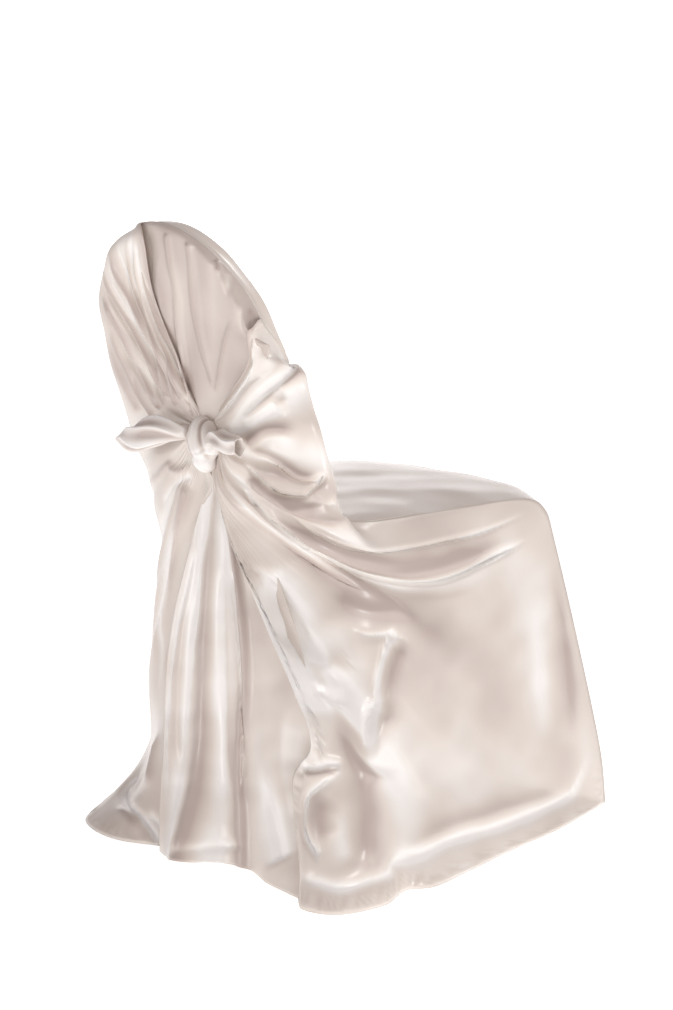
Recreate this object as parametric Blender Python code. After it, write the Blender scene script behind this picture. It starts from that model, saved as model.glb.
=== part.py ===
"""A satin cover for a round-topped banquet chair, tied behind with its own side wings.

The chair faces +Y and the knot is behind it, at -Y. Lengths are in metres and +Z is up.
The cover stands empty, in the shape in which it hangs over the chair.
"""

from collections import namedtuple
from math import cos, radians, sin

import bpy
import numpy as np

# Cloth
SHEET = 0.0025
SEAM_GAP = 0.0008

# The spot on the floor under the seat, measured from the middle of the cover's spread
SEAT_SPOT = (-0.016, 0.039)

# Hood over the chair's back
HOOD_CENTRE = -0.027
HOOD_HALF_WIDTH = 0.187
HOOD_DEPTH = 0.045
HOOD_FOOT = 0.486
HOOD_SPRING = 0.70
HOOD_RISE = 0.20
HOOD_LEAN = 0.26
HOOD_REAR_AT_FLOOR = -0.0804
HOOD_EDGE_ROUND = 0.007
HOOD_FRONT_SWELL = 0.006
CROWN_SHARE = 0.6

# Where each wing leaves the crown, as a share of the way from its top to the seat
LEFT_WING_START = -0.06
LEFT_WING_FULL = -0.24
RIGHT_WING_START = 0.45
RIGHT_WING_FULL = 0.58

# Knot
KNOT = (0.022, -0.270, 0.596)
ROOT_DEPTH = 0.008
ROOT_GAP = 0.0030
RIGHT_WING_LIFT = (0.006, -0.004, 0.0)
LEFT_WING_LIFT = (-0.003, -0.003, 0.002)
WING_HEIGHT = 0.012
RIGHT_RING = (64.0, -70.0)
LEFT_RING = (112.0, 248.0)
DRAPE_STATIONS = (0.0, 0.22, 0.5, 0.78, 1.0)

KNOT_RADII = (0.030, 0.022, 0.034)
REAR_SET_IN = 0.003

# Numbers of steps along the sheets
HOOD_SIDE_STEPS = 18
HOOD_FOOT_STEPS = 8
RIGHT_STEPS_FEWER = 3
HOOD_TOP_STEPS = 16
SEAT_STEPS = 9
SKIRT_STEPS = 9
FLOOR_STEPS = 14
RIGHT_RINGS = 24
LEFT_RINGS = 20
REAR_STEPS = 40
KNOT_ROWS = 14
KNOT_COLUMNS = 20
TIE_COLUMNS = 14

Row = namedtuple("Row", "name middle edge middle_height edge_height half_width centre")
CENTRE_ROWS = (
    Row("foot of the hood", -0.1617, -0.1617, HOOD_FOOT, HOOD_FOOT, HOOD_HALF_WIDTH, HOOD_CENTRE),
    Row("seat, rear", -0.120, -0.118, 0.487, 0.480, 0.214, -0.012),
    Row("seat, middle", 0.040, 0.040, 0.489, 0.478, 0.226, -0.008),
    Row("seat, front", 0.215, 0.172, 0.484, 0.474, 0.228, -0.006),
    Row("front edge", 0.264, 0.212, 0.462, 0.456, 0.236, -0.005),
    Row("skirt, top", 0.276, 0.226, 0.400, 0.400, 0.246, -0.005),
    Row("skirt, middle", 0.290, 0.243, 0.240, 0.240, 0.281, -0.005),
    Row("skirt, low", 0.297, 0.256, 0.090, 0.090, 0.312, -0.005),
    Row("hem", 0.300, 0.262, 0.0, 0.0, 0.322, -0.005),
)

Drape = namedtuple("Drape", "name place near half far")
RIGHT_DRAPES = (
    Drape("upper side", 0.145, (0.084, -0.270, 0.628), (0.160, -0.268, 0.686), (0.186, -0.236, 0.706)),
    Drape("bulge", 0.195, (0.086, -0.268, 0.608), (0.184, -0.248, 0.634), (0.210, -0.216, 0.642)),
    Drape("lower bulge", 0.245, (0.089, -0.268, 0.588), (0.192, -0.238, 0.585), (0.210, -0.202, 0.580)),
    Drape("seat corner", 0.30, (0.090, -0.270, 0.572), (0.198, -0.230, 0.545), (0.217, -0.186, 0.514)),
    Drape("short swag", 0.35, (0.085, -0.272, 0.560), (0.203, -0.228, 0.505), (0.232, -0.150, 0.464)),
    Drape("middle swag", 0.42, (0.085, -0.273, 0.545), (0.208, -0.224, 0.470), (0.240, -0.085, 0.432)),
    Drape("long swag", 0.50, (0.082, -0.274, 0.532), (0.216, -0.215, 0.440), (0.246, 0.000, 0.378)),
    Drape("upper corner", 0.57, (0.080, -0.275, 0.520), (0.226, -0.207, 0.385), (0.262, 0.020, 0.300)),
    Drape("lower corner", 0.635, (0.080, -0.276, 0.508), (0.238, -0.207, 0.335), (0.285, 0.020, 0.200)),
    Drape("front hem", 0.70, (0.082, -0.277, 0.497), (0.250, -0.215, 0.295), (0.310, 0.010, 0.110)),
    Drape("side hem", 0.775, (0.085, -0.278, 0.487), (0.262, -0.235, 0.275), (0.325, -0.100, 0.100)),
    Drape("hem notch", 0.85, (0.088, -0.279, 0.480), (0.270, -0.255, 0.262), (0.335, -0.215, 0.090)),
    Drape("pool corner", 0.89, (0.090, -0.280, 0.474), (0.274, -0.272, 0.252), (0.345, -0.275, 0.075)),
    Drape("pool", 0.935, (0.090, -0.280, 0.469), (0.274, -0.286, 0.243), (0.315, -0.315, 0.065)),
    Drape("hem edge", 1.00, (0.087, -0.279, 0.463), (0.270, -0.296, 0.234), (0.184, -0.316, 0.105)),
)
LEFT_DRAPES = (
    Drape("seat corner", 0.355, (-0.055, -0.266, 0.575), (-0.168, -0.236, 0.535), (-0.222, -0.178, 0.502)),
    Drape("short swag", 0.41, (-0.052, -0.266, 0.560), (-0.165, -0.232, 0.500), (-0.236, -0.145, 0.462)),
    Drape("middle swag", 0.47, (-0.050, -0.266, 0.545), (-0.168, -0.230, 0.465), (-0.248, -0.085, 0.430)),
    Drape("long swag", 0.54, (-0.048, -0.266, 0.530), (-0.168, -0.221, 0.430), (-0.255, 0.000, 0.380)),
    Drape("upper corner", 0.60, (-0.046, -0.267, 0.520), (-0.171, -0.213, 0.380), (-0.268, 0.020, 0.300)),
    Drape("lower corner", 0.66, (-0.043, -0.268, 0.510), (-0.176, -0.214, 0.320), (-0.288, 0.020, 0.200)),
    Drape("front hem", 0.72, (-0.040, -0.268, 0.500), (-0.180, -0.218, 0.280), (-0.308, 0.000, 0.110)),
    Drape("side hem", 0.79, (-0.037, -0.268, 0.495), (-0.176, -0.226, 0.260), (-0.290, -0.110, 0.100)),
    Drape("rear hem", 0.85, (-0.034, -0.267, 0.490), (-0.166, -0.236, 0.245), (-0.232, -0.186, 0.085)),
    Drape("tip", 0.895, (-0.030, -0.265, 0.491), (-0.148, -0.246, 0.240), (-0.164, -0.268, 0.045)),
    Drape("inner hem", 0.935, (-0.022, -0.262, 0.493), (-0.112, -0.256, 0.245), (-0.098, -0.318, 0.050)),
    Drape("hidden edge", 1.00, (-0.012, -0.256, 0.497), (-0.026, -0.270, 0.290), (-0.010, -0.302, 0.110)),
)

# A fold's place is the ray that it follows, and it runs from start to end along it
Fold = namedtuple("Fold", "name place end_place width start end height")
RIGHT_FOLDS = (
    Fold("upper band", 0.07, 0.06, 0.025, 0.0, 1.0, 0.006),
    Fold("overlap valley", 0.125, 0.12, 0.018, 0.0, 1.0, -0.008),
    Fold("light ridge", 0.165, 0.165, 0.020, 0.0, 1.0, 0.006),
    Fold("shallow valley", 0.20, 0.20, 0.018, 0.0, 1.0, -0.006),
    Fold("short swag", 0.24, 0.24, 0.022, 0.0, 1.0, 0.008),
    Fold("valley below it", 0.29, 0.285, 0.020, 0.05, 0.95, -0.008),
    Fold("thin swag", 0.36, 0.36, 0.022, 0.05, 1.0, 0.009),
    Fold("valley above the long swag", 0.43, 0.425, 0.020, 0.05, 0.9, -0.008),
    Fold("long swag", 0.50, 0.495, 0.024, 0.0, 1.0, 0.012),
    Fold("hollow below it", 0.57, 0.57, 0.035, 0.1, 0.9, -0.008),
    Fold("corner ridge", 0.82, 0.82, 0.030, 0.3, 1.0, 0.012),
    Fold("fold in the pool", 0.875, 0.87, 0.022, 0.45, 1.0, -0.010),
)
LEFT_FOLDS = (
    Fold("inner edge", 0.025, 0.02, 0.022, 0.0, 1.0, 0.004),
    Fold("first valley", 0.06, 0.06, 0.018, 0.0, 1.0, -0.005),
    Fold("second pleat", 0.10, 0.10, 0.018, 0.0, 1.0, 0.005),
    Fold("second valley", 0.14, 0.14, 0.018, 0.0, 1.0, -0.005),
    Fold("third pleat", 0.18, 0.18, 0.018, 0.0, 1.0, 0.005),
    Fold("third valley", 0.22, 0.22, 0.018, 0.0, 1.0, -0.005),
    Fold("plain cloth", 0.29, 0.29, 0.030, 0.1, 1.0, 0.004),
    Fold("drape ridge", 0.57, 0.57, 0.030, 0.05, 0.9, 0.005),
    Fold("drape hollow", 0.64, 0.64, 0.030, 0.05, 0.9, -0.007),
    Fold("rear ridge", 0.84, 0.85, 0.028, 0.1, 1.0, 0.006),
)

Spot = namedtuple("Spot", "name x y")
RIGHT_HEM = (
    Spot("side, front half", 0.333, 0.141),
    Spot("side, middle", 0.350, -0.005),
    Spot("side, rear half", 0.371, -0.160),
    Spot("notch", 0.353, -0.200),
    Spot("pool corner", 0.372, -0.262),
    Spot("pool", 0.335, -0.333),
    Spot("pool, rear", 0.270, -0.336),
    Spot("pool, inner end", 0.157, -0.298),
)
LEFT_HEM = (
    Spot("side, front half", -0.338, 0.130),
    Spot("side, middle", -0.330, -0.010),
    Spot("side, rear half", -0.300, -0.150),
    Spot("hollow", -0.240, -0.250),
    Spot("tip", -0.186, -0.356),
    Spot("below the tip", -0.088, -0.380),
    Spot("behind the tail", 0.000, -0.343),
    Spot("inner end", 0.035, -0.325),
)

Tail = namedtuple("Tail", "name left right")
REAR_ROWS = (
    Tail("shoulders", (-0.075, 0.000, 0.800), (0.128, 0.000, 0.735)),
    Tail("chest", (-0.090, 0.000, 0.715), (0.118, 0.000, 0.690)),
    Tail("above the knot", (-0.062, 0.000, 0.650), (0.075, 0.000, 0.650)),
    Tail("knot", (0.000, -0.240, 0.596), (0.050, -0.240, 0.596)),
    Tail("below the knot", (0.006, -0.250, 0.550), (0.068, -0.246, 0.550)),
    Tail("waist", (-0.014, -0.265, 0.460), (0.125, -0.247, 0.460)),
    Tail("thigh", (-0.046, -0.288, 0.310), (0.205, -0.253, 0.310)),
    Tail("calf", (-0.030, -0.324, 0.113), (0.238, -0.262, 0.113)),
    Tail("hem", (0.008, -0.352, 0.0), (0.235, -0.245, 0.0)),
)

# The row of the centre panel that runs along the seat's front edge
FRONT_EDGE_ROW = 4.0

REAR_STATIONS = (0.0, 0.13, 0.22, 0.29, 0.35, 0.41, 0.51, 0.68, 0.88, 1.0)

# A pleat's heights stand at the rows of the rear panel, from the seam down to the hem
Pleat = namedtuple("Pleat", "name place width heights")
PLEATS = (
    Pleat("left ridge", 0.14, 0.06, (0, 0.001, 0.002, 0.002, 0.003, 0.004, 0.006, 0.008, 0.008, 0.006)),
    Pleat("left valley", 0.27, 0.06,
          (0, -0.002, -0.003, -0.003, -0.003, -0.004, -0.006, -0.010, -0.012, -0.010)),
    Pleat("middle ridge", 0.42, 0.07, (0, 0.001, 0.002, 0.002, 0.003, 0.004, 0.006, 0.008, 0.008, 0.006)),
    Pleat("strong valley", 0.58, 0.05,
          (0, -0.002, -0.003, -0.003, -0.003, -0.004, -0.009, -0.014, -0.016, -0.014)),
    Pleat("bright ridge", 0.68, 0.05, (0, 0.001, 0.002, 0.002, 0.003, 0.004, 0.005, 0.007, 0.008, 0.006)),
)

# Shares of the way from the hood's seam over its rim to its middle, at which the front piece has points
ACROSS_SHARES = (0.0, 0.06, 0.25, 0.44, 0.50, 0.60, 0.78, 1.0)

IVORY = (0.86, 0.81, 0.76)
SATIN_ROUGHNESS = 0.32
TIED_IVORY = (0.90, 0.86, 0.82)
TIED_ROUGHNESS = 0.30

# How many of each wing's folds run straight to the hood's edge
RIGHT_HOOD_FOLDS = 5
LEFT_HOOD_FOLDS = 16

# A groove crosses the knot at right angles to its way
Groove = namedtuple("Groove", "name way offset depth width")
KNOT_GROOVES = (
    Groove("left of the band", (0.96, 0.0, 0.28), -0.42, 0.16, 0.14),
    Groove("right of the band", (0.96, 0.0, 0.28), 0.48, 0.14, 0.14),
    Groove("lower lobe", (0.1, 0.0, -0.99), 0.62, 0.12, 0.12),
)

# Each section of a tie's end is a ring of cloth round its place
Section = namedtuple("Section", "name place depth width ripple")
LEFT_TIE = (
    Section("at the knot", (-0.0082, -0.276, 0.607), 0.008, 0.013, 0.0),
    Section("neck", (-0.035, -0.284, 0.607), 0.010, 0.019, 0.08),
    Section("shoulder", (-0.070, -0.290, 0.600), 0.012, 0.026, 0.10),
    Section("belly", (-0.105, -0.291, 0.594), 0.011, 0.025, 0.10),
    Section("taper", (-0.135, -0.288, 0.587), 0.008, 0.017, 0.08),
    Section("tip", (-0.157, -0.284, 0.580), 0.003, 0.005, 0.0),
)
RIGHT_TIE = (
    Section("at the knot", (0.0518, -0.280, 0.600), 0.008, 0.010, 0.0),
    Section("neck", (0.072, -0.288, 0.602), 0.011, 0.014, 0.05),
    Section("mouth", (0.098, -0.294, 0.601), 0.013, 0.017, 0.05),
    Section("lip", (0.108, -0.296, 0.600), 0.010, 0.013, 0.0),
)


def through(stations, values, wanted):
    """Return the smooth curve through the values, which stand at the stations, at the wanted places."""
    stations = np.asarray(stations, float)
    values = np.asarray(values, float)
    wanted = np.atleast_1d(np.asarray(wanted, float))
    slopes = np.gradient(values, stations, axis=0)
    at = np.clip(np.searchsorted(stations, wanted, side="right") - 1, 0, len(stations) - 2)
    span = stations[at + 1] - stations[at]
    t = ((wanted - stations[at]) / span)[:, None]
    span = span[:, None]
    start = (1 + 2 * t) * (1 - t) ** 2 * values[at] + t * (1 - t) ** 2 * span * slopes[at]
    end = t ** 2 * (3 - 2 * t) * values[at + 1] + t ** 2 * (t - 1) * span * slopes[at + 1]
    return start + end


def ease(low, high, value):
    """Return 0 below low, 1 above high and a soft step between them."""
    t = min(max((value - low) / (high - low), 0.0), 1.0)
    return t * t * (3 - 2 * t)


def rear_of_hood(height):
    """Return how far back the rear of the hood lies at a height."""
    return HOOD_REAR_AT_FLOOR - HOOD_LEAN * height


def hood_outline(way):
    """Return the x and z of the hood's outline, from the left foot at -1 over the top at 0 to 1."""
    side = -1.0 if way < 0 else 1.0
    share = abs(way)
    if share <= CROWN_SHARE:
        angle = radians(90.0) * share / CROWN_SHARE
        return HOOD_CENTRE + side * HOOD_HALF_WIDTH * sin(angle), HOOD_SPRING + HOOD_RISE * cos(angle)
    drop = (share - CROWN_SHARE) / (1.0 - CROWN_SHARE)
    return HOOD_CENTRE + side * HOOD_HALF_WIDTH, HOOD_SPRING + drop * (HOOD_FOOT - HOOD_SPRING)


def hood_point(way, across):
    """Return a point of the hood: across is 0 at its rear edge, 1 at its front edge, 2 at its middle."""
    x, z = hood_outline(way)
    focus = min(z, HOOD_SPRING)
    if across <= 1.0:
        inset = HOOD_EDGE_ROUND * abs(2 * across - 1) ** 4
        reach = 1.0 - inset / HOOD_HALF_WIDTH
        y = rear_of_hood(z) + HOOD_DEPTH * across
    else:
        reach = (2.0 - across) * (1.0 - HOOD_EDGE_ROUND / HOOD_HALF_WIDTH)
        y = None
    x = HOOD_CENTRE + (x - HOOD_CENTRE) * reach
    z = focus + (z - focus) * reach
    if y is None:
        swell = HOOD_FRONT_SWELL * (1.0 - reach ** 2) * ease(HOOD_FOOT, HOOD_SPRING, z)
        y = rear_of_hood(z) + HOOD_DEPTH + swell
    return x, y, z


def hood_ways():
    """Return the places along the outline at which the hood's sheet has its points."""
    foot = np.linspace(CROWN_SHARE, 1.0, HOOD_FOOT_STEPS + 1)
    shoulder = HOOD_SIDE_STEPS - HOOD_FOOT_STEPS
    left = np.linspace(-CROWN_SHARE, LEFT_WING_START, shoulder + 1)
    top = np.linspace(LEFT_WING_START, RIGHT_WING_START, HOOD_TOP_STEPS + 1)
    right = np.linspace(RIGHT_WING_START, CROWN_SHARE, shoulder - RIGHT_STEPS_FEWER + 1)
    return np.concatenate([-foot[::-1], left[1:-1], top, right[1:-1], foot])


def hood_start(way):
    """Return how far across the rim the hood's front piece begins, 0 where it has the whole rim."""
    if way < 0:
        return ease(-LEFT_WING_START, -LEFT_WING_FULL, -way)
    return ease(RIGHT_WING_START, RIGHT_WING_FULL, way)


def grid_faces(rows, columns):
    """Return the four-sided faces of a grid of rows x columns points."""
    faces = []
    for row in range(rows - 1):
        for column in range(columns - 1):
            first = row * columns + column
            faces.append((first, first + 1, first + columns + 1, first + columns))
    return faces


def weld(pieces):
    """Join grids, given as pairs of points and faces, where their points agree."""
    places = {}
    points = []
    faces = []
    for grid, grid_face_list in pieces:
        number = []
        for point in grid.reshape(-1, 3):
            key = tuple(np.round(point, 6))
            if key not in places:
                places[key] = len(points)
                points.append(point)
            number.append(places[key])
        for face in grid_face_list:
            ring = []
            for corner in face:
                if number[corner] not in ring:
                    ring.append(number[corner])
            if len(ring) > 2:
                faces.append(tuple(ring))
    return np.array(points), faces


def vertex_normals(points, faces):
    """Return the mean normal of the faces round each point."""
    normals = np.zeros_like(points)
    for face in faces:
        corners = points[list(face)]
        normal = np.zeros(3)
        for first, second in zip(corners, np.roll(corners, -1, axis=0)):
            normal += np.cross(first, second)
        for corner in face:
            normals[corner] += normal
    lengths = np.linalg.norm(normals, axis=1)
    return normals / lengths[:, None]


def shell(name, points, faces, material, thickness=SHEET):
    """Make a closed sheet whose outer side has the given points and whose inner side lies within."""
    normals = vertex_normals(points, faces)
    inner = points - normals * thickness
    outer = points.copy()
    outer[:, 2] = np.maximum(outer[:, 2], 0.0)
    inner[:, 2] = np.maximum(inner[:, 2], 0.0)
    count = len(points)
    edges = {}
    for face in faces:
        for start, end in zip(face, face[1:] + face[:1]):
            edges[(start, end)] = True
    rims = []
    for start, end in edges:
        if (end, start) not in edges:
            rims.append((end, start, start + count, end + count))
    inside = [tuple(corner + count for corner in reversed(face)) for face in faces]
    return add_mesh(name, np.concatenate([outer, inner]), list(faces) + inside + rims, material)


def add_mesh(name, points, faces, material):
    """Make a smooth object of the given points and faces, moved so that its spread is centred."""
    moved = points + np.array([SEAT_SPOT[0], SEAT_SPOT[1], 0.0])
    mesh = bpy.data.meshes.new(name)
    mesh.from_pydata(moved.tolist(), [], faces)
    mesh.update()
    mesh.shade_smooth()
    piece = bpy.data.objects.new(name, mesh)
    mesh.materials.append(material)
    bpy.context.scene.collection.objects.link(piece)
    return piece


def satin(name, colour, roughness):
    """Return a satin finish of one colour."""
    material = bpy.data.materials.new(name)
    material.use_nodes = True
    shader = material.node_tree.nodes["Principled BSDF"]
    shader.inputs["Base Color"].default_value = (*colour, 1.0)
    shader.inputs["Roughness"].default_value = roughness
    shader.inputs["Metallic"].default_value = 0.0
    return material


def hood_grid():
    """Return the hood's front piece as a grid, one row for each place along its outline."""
    grid = []
    for way in hood_ways():
        start = hood_start(way)
        row = []
        for share in ACROSS_SHARES:
            row.append(hood_point(way, start + (2.0 - start) * share))
        grid.append(row)
    return np.array(grid)


def seat_grid():
    """Return the seat's top and the front skirt as a grid, one row for each place along the cloth."""
    shares = np.array(ACROSS_SHARES)
    across = np.concatenate([-(1.0 - shares), (1.0 - shares)[::-1][1:]])
    stations = np.arange(len(CENTRE_ROWS))
    table = [row[1:] for row in CENTRE_ROWS]
    seat_rows = np.linspace(0.0, FRONT_EDGE_ROW, SEAT_STEPS + 1)
    skirt_rows = np.linspace(FRONT_EDGE_ROW, len(CENTRE_ROWS) - 1.0, SKIRT_STEPS + 1)
    rows = through(stations, table, np.concatenate([seat_rows, skirt_rows[1:]]))
    grid = []
    for middle, edge, middle_height, edge_height, half_width, centre in rows:
        line = []
        for place in across:
            x = centre + half_width * place
            y = middle + (edge - middle) * abs(place) ** 3
            z = middle_height + (edge_height - middle_height) * place ** 4
            line.append((x, y, z))
        grid.append(line)
    grid = np.array(grid)
    reach = 1.0 - HOOD_EDGE_ROUND / HOOD_HALF_WIDTH
    grid[0, :, 0] = HOOD_CENTRE + HOOD_HALF_WIDTH * across * reach
    grid[0, :, 1] = rear_of_hood(HOOD_FOOT) + HOOD_DEPTH
    return grid


def centre_surface():
    """Return the centre panel's points and faces, and its left, top and right edges with normals."""
    hood = hood_grid()
    seat = seat_grid()
    hood_faces = grid_faces(*hood.shape[:2])
    seat_faces = [tuple(reversed(face)) for face in grid_faces(*seat.shape[:2])]
    points, faces = weld([(hood, hood_faces), (seat, seat_faces)])
    normals = vertex_normals(points, faces)
    index = {tuple(np.round(point, 6)): number for number, point in enumerate(points)}

    def beneath(line):
        tucked = []
        for point in line:
            normal = normals[index[tuple(np.round(point, 6))]]
            tucked.append(point - normal * (SHEET + SEAM_GAP))
        return np.array(tucked)

    rim = hood[:, 0]
    left = np.concatenate([rim[:HOOD_SIDE_STEPS + 1][::-1], seat[1:, 0]])
    top = rim[HOOD_SIDE_STEPS + 1:HOOD_SIDE_STEPS + HOOD_TOP_STEPS]
    right = np.concatenate([rim[HOOD_SIDE_STEPS + HOOD_TOP_STEPS:], seat[1:, -1]])
    return points, faces, beneath(left), beneath(top), beneath(right)


def knot_ring(start_angle, end_angle, count):
    """Return points round the knot, where the gathered cloth goes into it."""
    share = (1.0 - (ROOT_DEPTH / KNOT_RADII[1]) ** 2) ** 0.5
    wide = KNOT_RADII[0] * share + ROOT_GAP
    high = KNOT_RADII[2] * share + ROOT_GAP
    ring = []
    for angle in np.radians(np.linspace(start_angle, end_angle, count)):
        ring.append((KNOT[0] + wide * cos(angle), KNOT[1] + ROOT_DEPTH, KNOT[2] + high * sin(angle)))
    return np.array(ring)


def hood_drape(place, way, root, lift):
    """Return the stations of a fold that runs from the knot round the hood's edge to a place on it."""
    rim = np.array(hood_point(way, 0.0)) + np.array(lift)
    near = root + (rim - root) * DRAPE_STATIONS[1] / DRAPE_STATIONS[3]
    half = root + (rim - root) * DRAPE_STATIONS[2] / DRAPE_STATIONS[3]
    near[1] = rear_of_hood(near[2]) - WING_HEIGHT
    half[1] = rear_of_hood(half[2]) - WING_HEIGHT
    return Drape("to the hood", place, tuple(near), tuple(half), tuple(rim))


def fan(edge, drapes, hood_ways_used, ring_angles, rings, side, wing_lift, folds):
    """Return a sheet gathered at the knot and spread to its edge, as points and faces."""
    count = len(edge)
    roots = knot_ring(*ring_angles, count)
    places = np.linspace(0.0, 1.0, count)
    rows = []
    for number, way in enumerate(hood_ways_used):
        rows.append(hood_drape(places[number], way, roots[number], wing_lift))
    rows.extend(drapes)
    table = [row.near + row.half + row.far for row in rows]
    middles = through([row.place for row in rows], table, places)
    shares = np.linspace(0.0, 1.0, rings + 1)
    grid = []
    for number in range(count):
        stations = [roots[number], *middles[number].reshape(3, 3), edge[number]]
        grid.append(through(DRAPE_STATIONS, stations, shares))
    grid = np.array(grid)
    faces = grid_faces(count, rings + 1)
    if side < 0:
        faces = [tuple(reversed(face)) for face in faces]
    grid = raise_folds(grid, faces, folds, places, shares)
    return grid.reshape(-1, 3), faces


def raise_folds(grid, faces, folds, places, shares):
    """Lift or sink a grid along its folds, each of which runs out from the knot between two rays."""
    points = grid.reshape(-1, 3)
    normals = vertex_normals(points, faces).reshape(grid.shape)
    lift = np.zeros(grid.shape[:2])
    for fold in folds:
        line = np.interp(shares, (0.0, 1.0), (fold.place, fold.end_place))
        offset = (places[:, None] - line[None, :]) / fold.width
        along = np.sin(np.pi * np.clip((shares - fold.start) / (fold.end - fold.start), 0.0, 1.0))
        lift += fold.height * np.exp(-offset ** 2) * along[None, :]
    return grid + normals * lift[:, :, None]


def floor_line(start, spots, count):
    """Return points along the hem on the floor, from the front corner round to its inner end."""
    outline = [(start[0], start[1])] + [(spot.x, spot.y) for spot in spots]
    places = np.linspace(0.0, 1.0, len(outline))
    line = through(places, outline, np.linspace(0.0, 1.0, count + 1))
    return np.column_stack([line, np.zeros(len(line))])[1:]


def rear_surface(top):
    """Return the rear panel's points and faces, from the crown's seam down to the floor."""
    columns = len(top)
    shares = np.linspace(0.0, 1.0, columns)
    rows = [top]
    for row in REAR_ROWS:
        line = np.array([row.left]) + np.outer(shares, np.subtract(row.right, row.left))
        if row.left[2] > KNOT[2] + KNOT_RADII[2]:
            line[:, 1] = rear_of_hood(line[:, 2]) + REAR_SET_IN
        rows.append(line)
    rows = np.array(rows)
    stations = np.array(REAR_STATIONS)
    wanted = np.linspace(0.0, 1.0, REAR_STEPS + 1)
    grid = through(stations, rows.reshape(len(rows), -1), wanted).reshape(len(wanted), columns, 3)
    faces = grid_faces(len(wanted), columns)
    points = grid.reshape(-1, 3)
    normals = vertex_normals(points, faces).reshape(grid.shape)
    lift = np.zeros(grid.shape[:2])
    for pleat in PLEATS:
        size = np.interp(wanted, stations, pleat.heights)
        lift += size[:, None] * np.exp(-((shares[None, :] - pleat.place) / pleat.width) ** 2)
    grid = grid + normals * lift[:, :, None]
    return grid.reshape(-1, 3), faces


def ball(name, centre, radii, grooves, material):
    """Make the knot: a ball with shallow grooves where one turn of cloth passes over another."""
    points = []
    for row in range(1, KNOT_ROWS):
        tilt = np.pi * row / KNOT_ROWS
        for column in range(KNOT_COLUMNS):
            turn = 2 * np.pi * column / KNOT_COLUMNS
            way = np.array([sin(tilt) * cos(turn), sin(tilt) * sin(turn), cos(tilt)])
            size = 1.0
            for groove in grooves:
                away = np.dot(way, groove.way) - groove.offset
                size -= groove.depth * np.exp(-(away / groove.width) ** 2)
            points.append(np.array(centre) + way * np.array(radii) * size)
    top = len(points)
    points.append(np.array(centre) + np.array([0.0, 0.0, radii[2]]))
    points.append(np.array(centre) - np.array([0.0, 0.0, radii[2]]))
    faces = []
    for row in range(KNOT_ROWS - 2):
        for column in range(KNOT_COLUMNS):
            after = (column + 1) % KNOT_COLUMNS
            first = row * KNOT_COLUMNS
            faces.append((first + column, first + KNOT_COLUMNS + column,
                          first + KNOT_COLUMNS + after, first + after))
    last = (KNOT_ROWS - 2) * KNOT_COLUMNS
    for column in range(KNOT_COLUMNS):
        after = (column + 1) % KNOT_COLUMNS
        faces.append((top, column, after))
        faces.append((top + 1, last + after, last + column))
    return add_mesh(name, np.array(points), faces, material)


def tie_end(name, sections, material):
    """Make a tie's end: rings of cloth from the knot to the tip, closed at both ends."""
    points = []
    for section in sections:
        for column in range(TIE_COLUMNS):
            turn = 2 * np.pi * column / TIE_COLUMNS
            ripple = 1.0 + section.ripple * cos(3 * turn)
            along_y = section.depth * cos(turn) * ripple
            along_z = section.width * sin(turn) * ripple
            points.append(np.array(section.place) + np.array([0.0, along_y, along_z]))
    faces = []
    for row in range(len(sections) - 1):
        for column in range(TIE_COLUMNS):
            after = (column + 1) % TIE_COLUMNS
            first = row * TIE_COLUMNS
            faces.append((first + column, first + after,
                          first + TIE_COLUMNS + after, first + TIE_COLUMNS + column))
    last = (len(sections) - 1) * TIE_COLUMNS
    faces.append(tuple(range(TIE_COLUMNS - 1, -1, -1)))
    faces.append(tuple(range(last, last + TIE_COLUMNS)))
    if sections[-1].place[0] < sections[0].place[0]:
        faces = [tuple(reversed(face)) for face in faces]
    return add_mesh(name, np.array(points), faces, material)


def build():
    """Model every piece of the cover."""
    for item in list(bpy.data.objects):
        bpy.data.objects.remove(item, do_unlink=True)
    plain = satin("ivory_satin", IVORY, SATIN_ROUGHNESS)
    tied = satin("ivory_satin_tied", TIED_IVORY, TIED_ROUGHNESS)

    points, faces, left_edge, top_edge, right_edge = centre_surface()
    shell("centre_panel", points, faces, plain)

    right_edge = np.concatenate([right_edge, floor_line(right_edge[-1], RIGHT_HEM, FLOOR_STEPS)])
    ways = hood_ways()
    right_ways = ways[HOOD_SIDE_STEPS + HOOD_TOP_STEPS:][:RIGHT_HOOD_FOLDS]
    right = fan(right_edge, RIGHT_DRAPES, right_ways, RIGHT_RING, RIGHT_RINGS, 1.0,
                RIGHT_WING_LIFT, RIGHT_FOLDS)
    shell("right_panel", *right, plain)

    left_edge = np.concatenate([left_edge, floor_line(left_edge[-1], LEFT_HEM, FLOOR_STEPS)])
    left_ways = ways[:HOOD_SIDE_STEPS + 1][::-1][:LEFT_HOOD_FOLDS]
    left = fan(left_edge, LEFT_DRAPES, left_ways, LEFT_RING, LEFT_RINGS, -1.0,
               LEFT_WING_LIFT, LEFT_FOLDS)
    shell("left_panel", *left, plain)

    shell("rear_panel", *rear_surface(top_edge), plain)

    ball("knot", KNOT, KNOT_RADII, KNOT_GROOVES, tied)
    tie_end("left_tie_end", LEFT_TIE, tied)
    tie_end("right_tie_end", RIGHT_TIE, tied)


build()
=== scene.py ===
"""Dress the chair cover: fine satin sheets, the knot and its ends, seams, stitches and a studio."""

import logging
import math
from dataclasses import dataclass, field
from enum import Enum
from typing import ClassVar, Sequence

import bpy
import numpy as np
from mathutils import Matrix, Vector


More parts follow.
